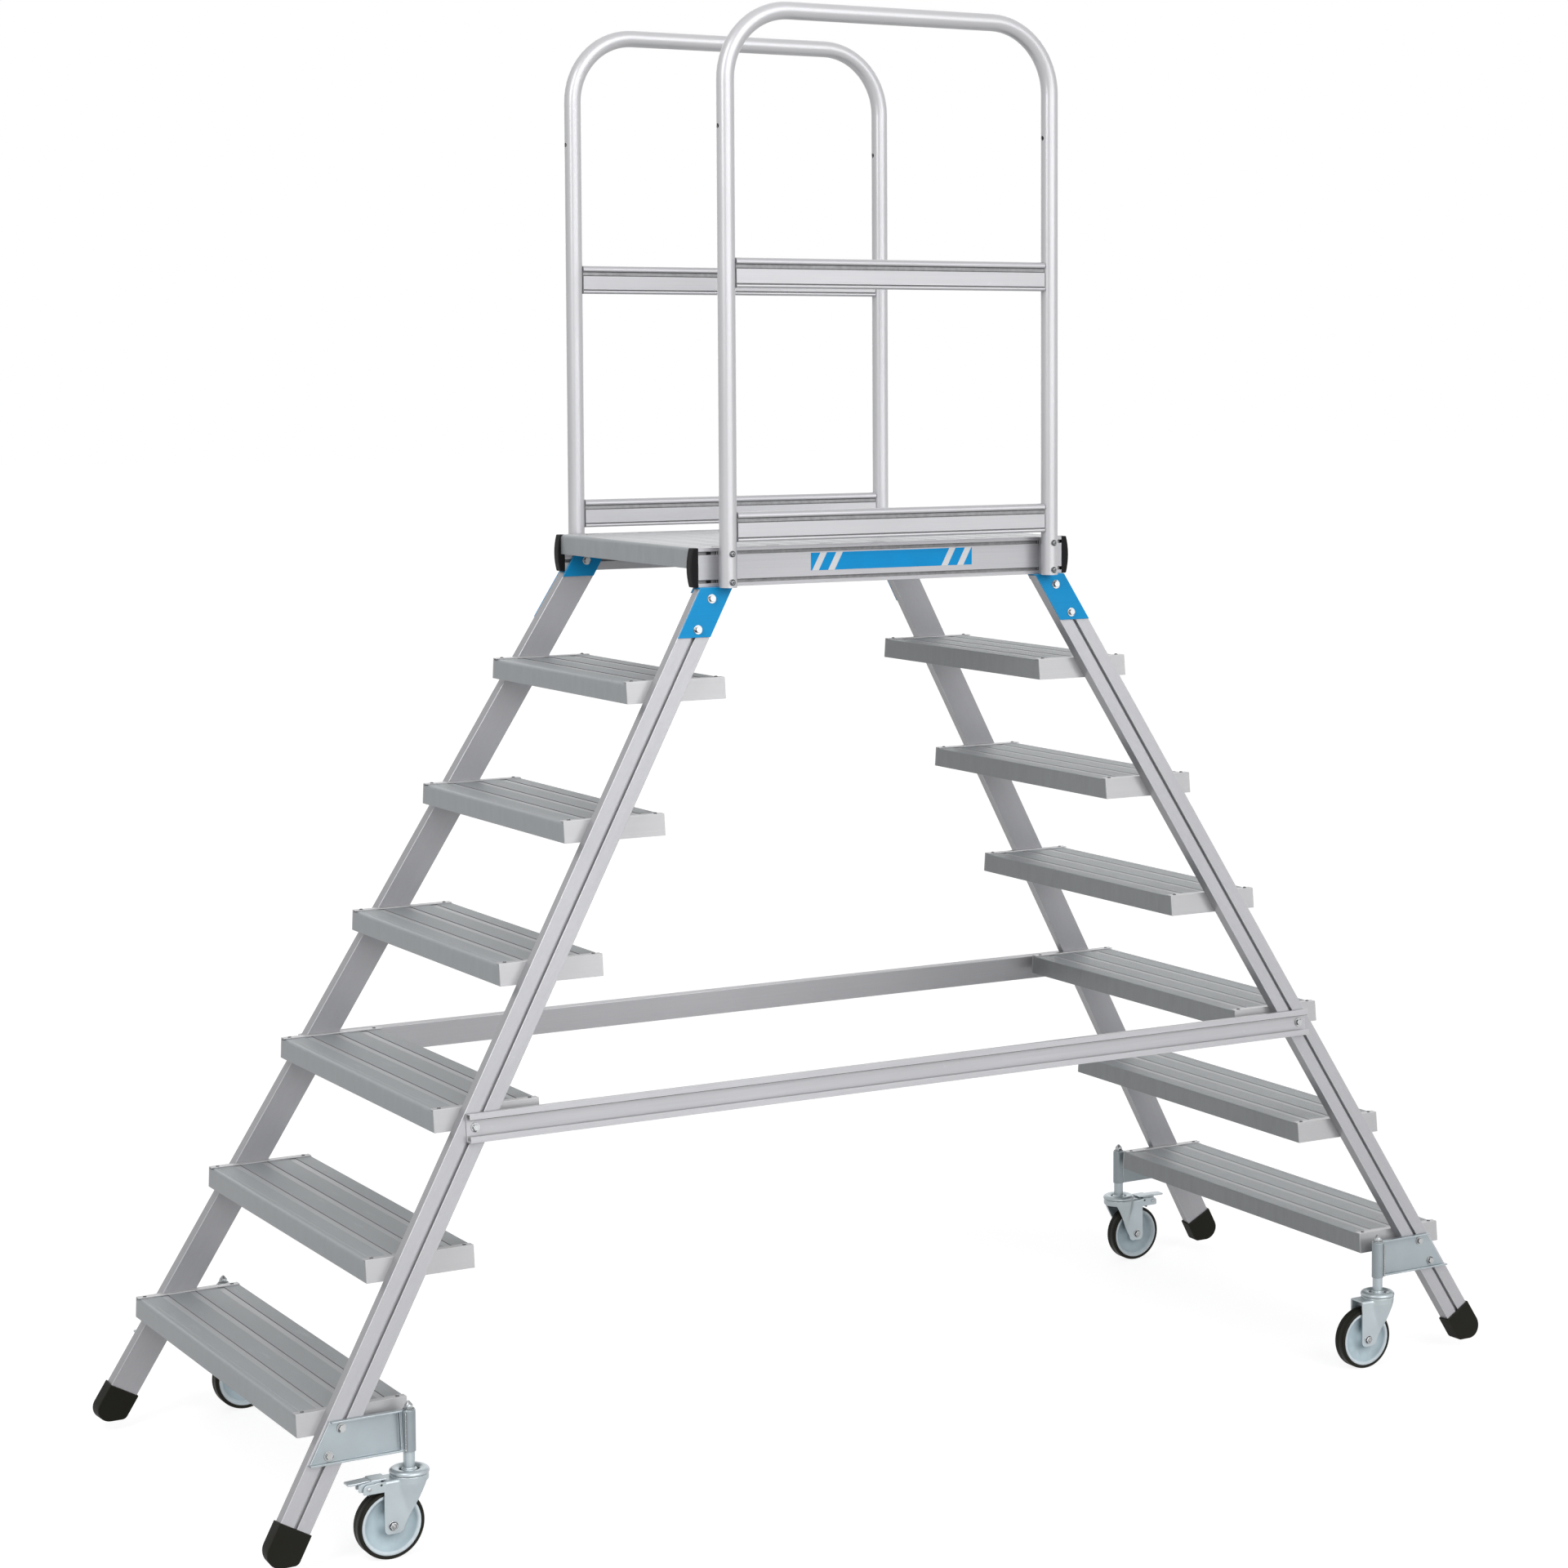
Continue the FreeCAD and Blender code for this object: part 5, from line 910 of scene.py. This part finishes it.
def build_castors():
    for end, side in CORNERS:
        corner = f"{end}_{side}"
        place = castor_place(end, side)
        wheel = place @ WHEEL_CENTRE
        braked = f"brake_pedal_{corner}" in nodes
        piece(f"pressed_fork_{corner}", moved(fork_parts(braked), place), f"swivel_{corner}",
              ["zinc_steel", "bright_steel", "dark_steel"], f"castor_fork_{corner}", bevel=0.45, weld=True)
        piece(f"axle_bolt_{corner}", moved(axle_parts(), wheel), f"swivel_{corner}",
              ["bright_steel", "bolt_side"], f"castor_axle_{corner}", bevel=0.25)
        piece(f"dished_rim_{corner}", moved([rim_part()], wheel), f"wheel_{corner}",
              ["rim_plastic", "rim_ring"], f"castor_rim_{corner}", smooth=50)
        piece(f"rounded_tyre_{corner}", [placed(tyre_part(), wheel)], f"wheel_{corner}",
              "tyre_rubber", f"castor_tyre_{corner}", smooth=50)
        piece(f"stem_and_nut_{corner}", moved(stem_parts(), place), f"stem_{corner}",
              ["zinc_steel", "dark_steel", "bright_steel"], f"castor_stem_{corner}", bevel=0.3)
        if braked:
            piece(f"folded_pedal_{corner}", moved(pedal_parts(), place), f"pedal_{corner}",
                  ["zinc_steel", "dark_steel"], f"brake_pedal_{corner}", bevel=0.35)
        dressed(f"castor_bracket_{corner}", ["zinc_bracket"], 0.5)
        bead = placed(weld_bead(), bracket_place(end, side))
        piece(f"weld_bead_{corner}", [bead], "frame", "bright_steel", smooth=80)


# Profiles, sheet parts, label and small trim

# Painted shade for the faces inside T-slots (TRACK) and grooves (GROOVE)
TRACK = "slot_shadow"
GROOVE = "groove_shadow"


def build_profiles():
    for end, side in CORNERS:
        dressed(f"stile_{end}_{side}", [f"profile_{end}", TRACK], 0.8)
    dressed("platform_side_rails", ["profile_aluminium", GROOVE], 0.5)
    dressed("struts", ["profile_aluminium", TRACK], 0.8)
    dressed("post_saddles", ["profile_aluminium"], 0.8)
    dressed("tread_end_plates", ["plate_aluminium"], 0.4)
    dressed("head_brackets", ["blue_steel"], 0.7)
    dressed("platform_end_caps", ["black_plastic"], 1.4, steps=3)
    hardware("frame_bolts", Vector((0, 1, 0)), "bolts_finished", 0.8, 0.00005)
    hardware("tread_rivets", Vector((0, 0, 1)), "rivets_finished", 0.95, 0.0)
    dressed("stile_feet", ["foot_rubber"], 1.4, steps=3)


GUARD_THICKNESS = 22.0
# Outer face of a knee rail or toe board: height and set-back of each point, and the look of the run above;
# looks 1 and 2 are painted shade in the grooves
GUARD_FACE = [(0.0, 3.2, 0), (1.4, 1.2, 0), (3.4, 0.2, 0), (5.4, 0.6, 0), (6.4, 1.8, 1), (6.8, 3.2, 1),
              (8.2, 3.2, 1), (8.6, 1.6, 0), (34.6, 1.6, 1), (34.9, 4.0, 1), (36.6, 4.0, 2), (42.0, 4.0, 1),
              (44.0, 4.0, 1), (44.3, 1.2, 0), (45.4, 0.4, 0), (47.4, 0.0, 0), (50.0, 0.6, 0), (52.6, 2.2, 0),
              (54.3, 4.8, 0), (55.0, 8.0, 0)]


def guard_part(low, high, side):
    """Guard profile between two corners of its box, its worked face outward."""
    outline = [(setback, height) for height, setback, _ in GUARD_FACE]
    outline += [(high.y - low.y - setback, height) for setback, height in reversed(outline)]
    rings = []
    for x in (low.x, high.x):
        outer = low.y if side < 0 else high.y
        rings.append([(x, outer - side * setback, low.z + height) for setback, height in outline])
    points, faces = loft(rings)
    runs = [look for _, _, look in GUARD_FACE[:-1]]
    looks = runs + [0] + runs[::-1] + [0, 0, 0]
    return points, faces, looks


def build_guards():
    for node in ("knee_rails", "toe_boards"):
        low, high = box_of(node)
        parts = []
        for side in SIDES.values():
            y0, y1 = sorted((side * high.y, side * (high.y - GUARD_THICKNESS)))
            parts.append(guard_part(Vector((low.x, y0, low.z)), Vector((high.x, y1, high.z)), side))
        piece(f"{node}_profile", parts, "frame", ["guard_aluminium", TRACK, GROOVE], node, bevel=0.2)


LABEL = {"left": -161.0, "right": 190.0, "middle": 1668.0, "height": 33.0, "film": 0.3, "sunk": 0.02}
STRIPE_WIDTH, STRIPE_LEAN = 14.0, 17.7
STRIPE_STARTS = (2.5, 36.5, 283.0, 318.0)


def build_label():
    """Blue film on the near side rail: slanting white stripes at both ends and a bare middle."""
    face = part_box("platform_side_rails")[0].y * 1000
    low, high = LABEL["middle"] - LABEL["height"] / 2, LABEL["middle"] + LABEL["height"] / 2
    left, width = LABEL["left"], LABEL["right"] - LABEL["left"]
    place = Matrix.Translation((0, face - LABEL["sunk"], 0)) @ STAND_UP
    cuts = [(0.0, 0.0)]
    for start in STRIPE_STARTS:
        cuts += [(start, start + STRIPE_LEAN), (start + STRIPE_WIDTH, start + STRIPE_WIDTH + STRIPE_LEAN)]
    cuts.append((width, width))
    parts = []
    for index, ((b0, t0), (b1, t1)) in enumerate(zip(cuts, cuts[1:])):
        outline = [(left + b0, low), (left + b1, low), (left + t1, high), (left + t0, high)]
        parts.append((*placed(prism(outline, 0.0, LABEL["film"]), place), index % 2))
    piece("striped_label", parts, "frame", ["label_film", "label_white"])


def box_part(low, high):
    (x0, y0, z0), (x1, y1, z1) = low, high
    return prism([(x0, y0), (x1, y0), (x1, y1), (x0, y1)], z0, z1)


STRUT_DEPTH = 15.0
BAND_SUNK, BAND_INSET = 0.4, 1.5
# Bands on a strut's outer face: lower and upper edge, how far each stands out, and its look; the thin dark
# one is a painted shadow line under the upper band
STRUT_BANDS = ((0.0, 11.0, 1.4, 0), (40.0, 51.0, 1.4, 0), (38.9, 40.2, 0.3, 1))


def build_strut_bands():
    """Raised bands along both edges of each strut's outer face, with a painted shadow line under the upper
    one.
    """
    low, high = box_of("struts")
    lean = math.atan(FLARE)
    parts = []
    for side in SIDES.values():
        corner = Vector((0, side * high.y, low.z + STRUT_DEPTH * math.sin(lean)))
        place = Matrix.Translation(corner) @ Matrix.Rotation(side * lean, 4, "X")
        for start, end, depth, look in STRUT_BANDS:
            y0, y1 = sorted((-side * BAND_SUNK, side * depth))
            band = box_part((low.x + BAND_INSET, y0, start), (high.x - BAND_INSET, y1, end))
            parts.append((*placed(band, place), look))
    piece("strut_bands", parts, "frame", ["profile_aluminium", TRACK], bevel=0.3)


TUBE_RADIUS = 16.25
SLOT_SHADE_BLOCK = {"from_tube": 24.0, "half_length": 3.5, "half_height": 2.6, "outer": 0.6, "inner": 4.0}
RAIL_SLOT_INSET = 10.0              # T-slot's middle from the rail's edge


def build_slot_shade_blocks():
    """Black blocks in the side rails' T-slots between each post and the end cap: painted shade in the slots
    beside the posts.
    """
    low, high = box_of("platform_side_rails")
    shade_block_x = box_of("handrail_near")[1].x - TUBE_RADIUS + SLOT_SHADE_BLOCK["from_tube"]
    parts = []
    for sign in SIDES.values():
        y0, y1 = sorted((sign * (high.y - SLOT_SHADE_BLOCK["outer"]), sign * (high.y - SLOT_SHADE_BLOCK["inner"])))
        for z in (low.z + RAIL_SLOT_INSET, high.z - RAIL_SLOT_INSET):
            for x in (-shade_block_x, shade_block_x):
                parts.append(box_part((x - SLOT_SHADE_BLOCK["half_length"], y0, z - SLOT_SHADE_BLOCK["half_height"]),
                                      (x + SLOT_SHADE_BLOCK["half_length"], y1, z + SLOT_SHADE_BLOCK["half_height"])))
    piece("slot_shade_blocks", parts, "frame", "black_plastic", bevel=0.4)


DRAIN = {"count": 7, "margin": 64, "half_length": 14, "outer": 7.5, "inner": 11.0, "corner": 1.7,
         "below": 0.5, "above": 0.12}


def build_deck_slot_shade():
    """Thin dark sheets along both long edges of the deck: painted shade in place of cut slots."""
    low, high = box_of("platform_deck")
    parts = []
    for sign in SIDES.values():
        y0, y1 = sorted((sign * (high.y - DRAIN["inner"]), sign * (high.y - DRAIN["outer"])))
        for i in range(DRAIN["count"]):
            x = low.x + DRAIN["margin"] + i * (high.x - low.x - 2 * DRAIN["margin"]) / (DRAIN["count"] - 1)
            ends = (x - DRAIN["half_length"], y0), (x + DRAIN["half_length"], y1)
            outline = rounded_box(*ends, DRAIN["corner"])
            parts.append(prism(outline, high.z - DRAIN["below"], high.z + DRAIN["above"]))
    piece("deck_slot_shade_sheets", parts, "frame", "slot_shadow")


build_profiles()
build_guards()
build_strut_bands()
build_label()
build_slot_shade_blocks()
build_deck_slot_shade()
build_treads()
build_deck()
build_castors()
build_springs()


# Floor, light and camera

FLOOR_REACH = 60.0
FLOOR_GLOW = 0.84                   # how bright the floor is where it is seen, besides the light on it
SKY_LEVELS = (0.08, 0.42)           # light from the horizon and from overhead


def seen_directly(g):
    """1 where the camera, a reflection or glass looks, 0 for other rays."""
    rays = g.add("ShaderNodeLightPath").outputs
    either = g.math("MAXIMUM", rays["Is Camera Ray"], rays["Is Glossy Ray"])
    return g.math("MAXIMUM", either, rays["Is Transmission Ray"])


def build_floor():
    mesh = bpy.data.meshes.new("floor")
    corners = [(x * FLOOR_REACH, y * FLOOR_REACH, 0) for x, y in ((-1, -1), (1, -1), (1, 1), (-1, 1))]
    mesh.from_pydata(corners, [], [(0, 1, 2, 3)])
    floor = bpy.data.objects.new("floor", mesh)
    bpy.context.scene.collection.objects.link(floor)
    g = Graph(bpy.data.materials.new("floor"))
    g.set(Base_Color=(0.34, 0.34, 0.34, 1), Roughness=0.9, Specular_IOR_Level=0.0)
    g.set(Emission_Color=(1, 1, 1, 1))
    g.set(Emission_Strength=g.math("MULTIPLY", seen_directly(g), FLOOR_GLOW))
    mesh.materials.append(g.owner)


def build_world():
    """White where it is seen; as light it is a soft sky, strongest overhead."""
    g = Graph(bpy.data.worlds.new("studio"), "Background")
    direction = g.add("ShaderNodeTexCoord").outputs["Generated"]
    height = g.add("ShaderNodeSeparateXYZ", {"Vector": direction}).outputs["Z"]
    sky = g.band(height, -0.1, 0.9, *SKY_LEVELS)
    g.set(Color=(1, 1, 1, 1), Strength=g.band(seen_directly(g), 0.0, 1.0, sky, 1.0))
    bpy.context.scene.world = g.owner


def sun(name, direction, strength, spread):
    """Soft parallel light that comes from the given direction."""
    data = bpy.data.lights.new(name, "SUN")
    data.energy = strength
    data.angle = math.radians(spread)
    lamp = bpy.data.objects.new(name, data)
    lamp.rotation_euler = Vector(direction).to_track_quat("Z", "Y").to_euler()
    bpy.context.scene.collection.objects.link(lamp)


def softbox(name, place, target, size, power):
    """Rectangular lamp at a place, facing a target; it isn't seen itself."""
    data = bpy.data.lights.new(name, "AREA")
    data.shape = "RECTANGLE"
    data.size, data.size_y = size
    data.energy = power
    lamp = bpy.data.objects.new(name, data)
    lamp.location = place
    lamp.rotation_euler = (Vector(place) - Vector(target)).to_track_quat("Z", "Y").to_euler()
    lamp.visible_camera = False
    bpy.context.scene.collection.objects.link(lamp)


def build_camera():
    data = bpy.data.cameras.new("camera")
    data.sensor_width = 36.0
    data.lens = 78.44
    data.shift_x = -0.1268
    data.shift_y = -0.116
    data.clip_end = 300.0
    camera = bpy.data.objects.new("camera", data)
    camera.location = (-3.221, -5.871, 2.045)
    camera.rotation_euler = (math.radians(85.92), math.radians(0.07), math.radians(-31.66))
    bpy.context.scene.collection.objects.link(camera)
    bpy.context.scene.camera = camera


build_floor()
build_world()
sun("front", direction=(0.12, -1.0, 0.27), strength=2.35, spread=62)
sun("back", direction=(0.5, 1.0, 0.3), strength=0.45, spread=60)
softbox("left", place=(-3.3, -1.8, 3.7), target=(0.2, -0.1, 1.1), size=(1.3, 2.8), power=58)
build_camera()

bpy.context.scene.view_settings.view_transform = "Standard"
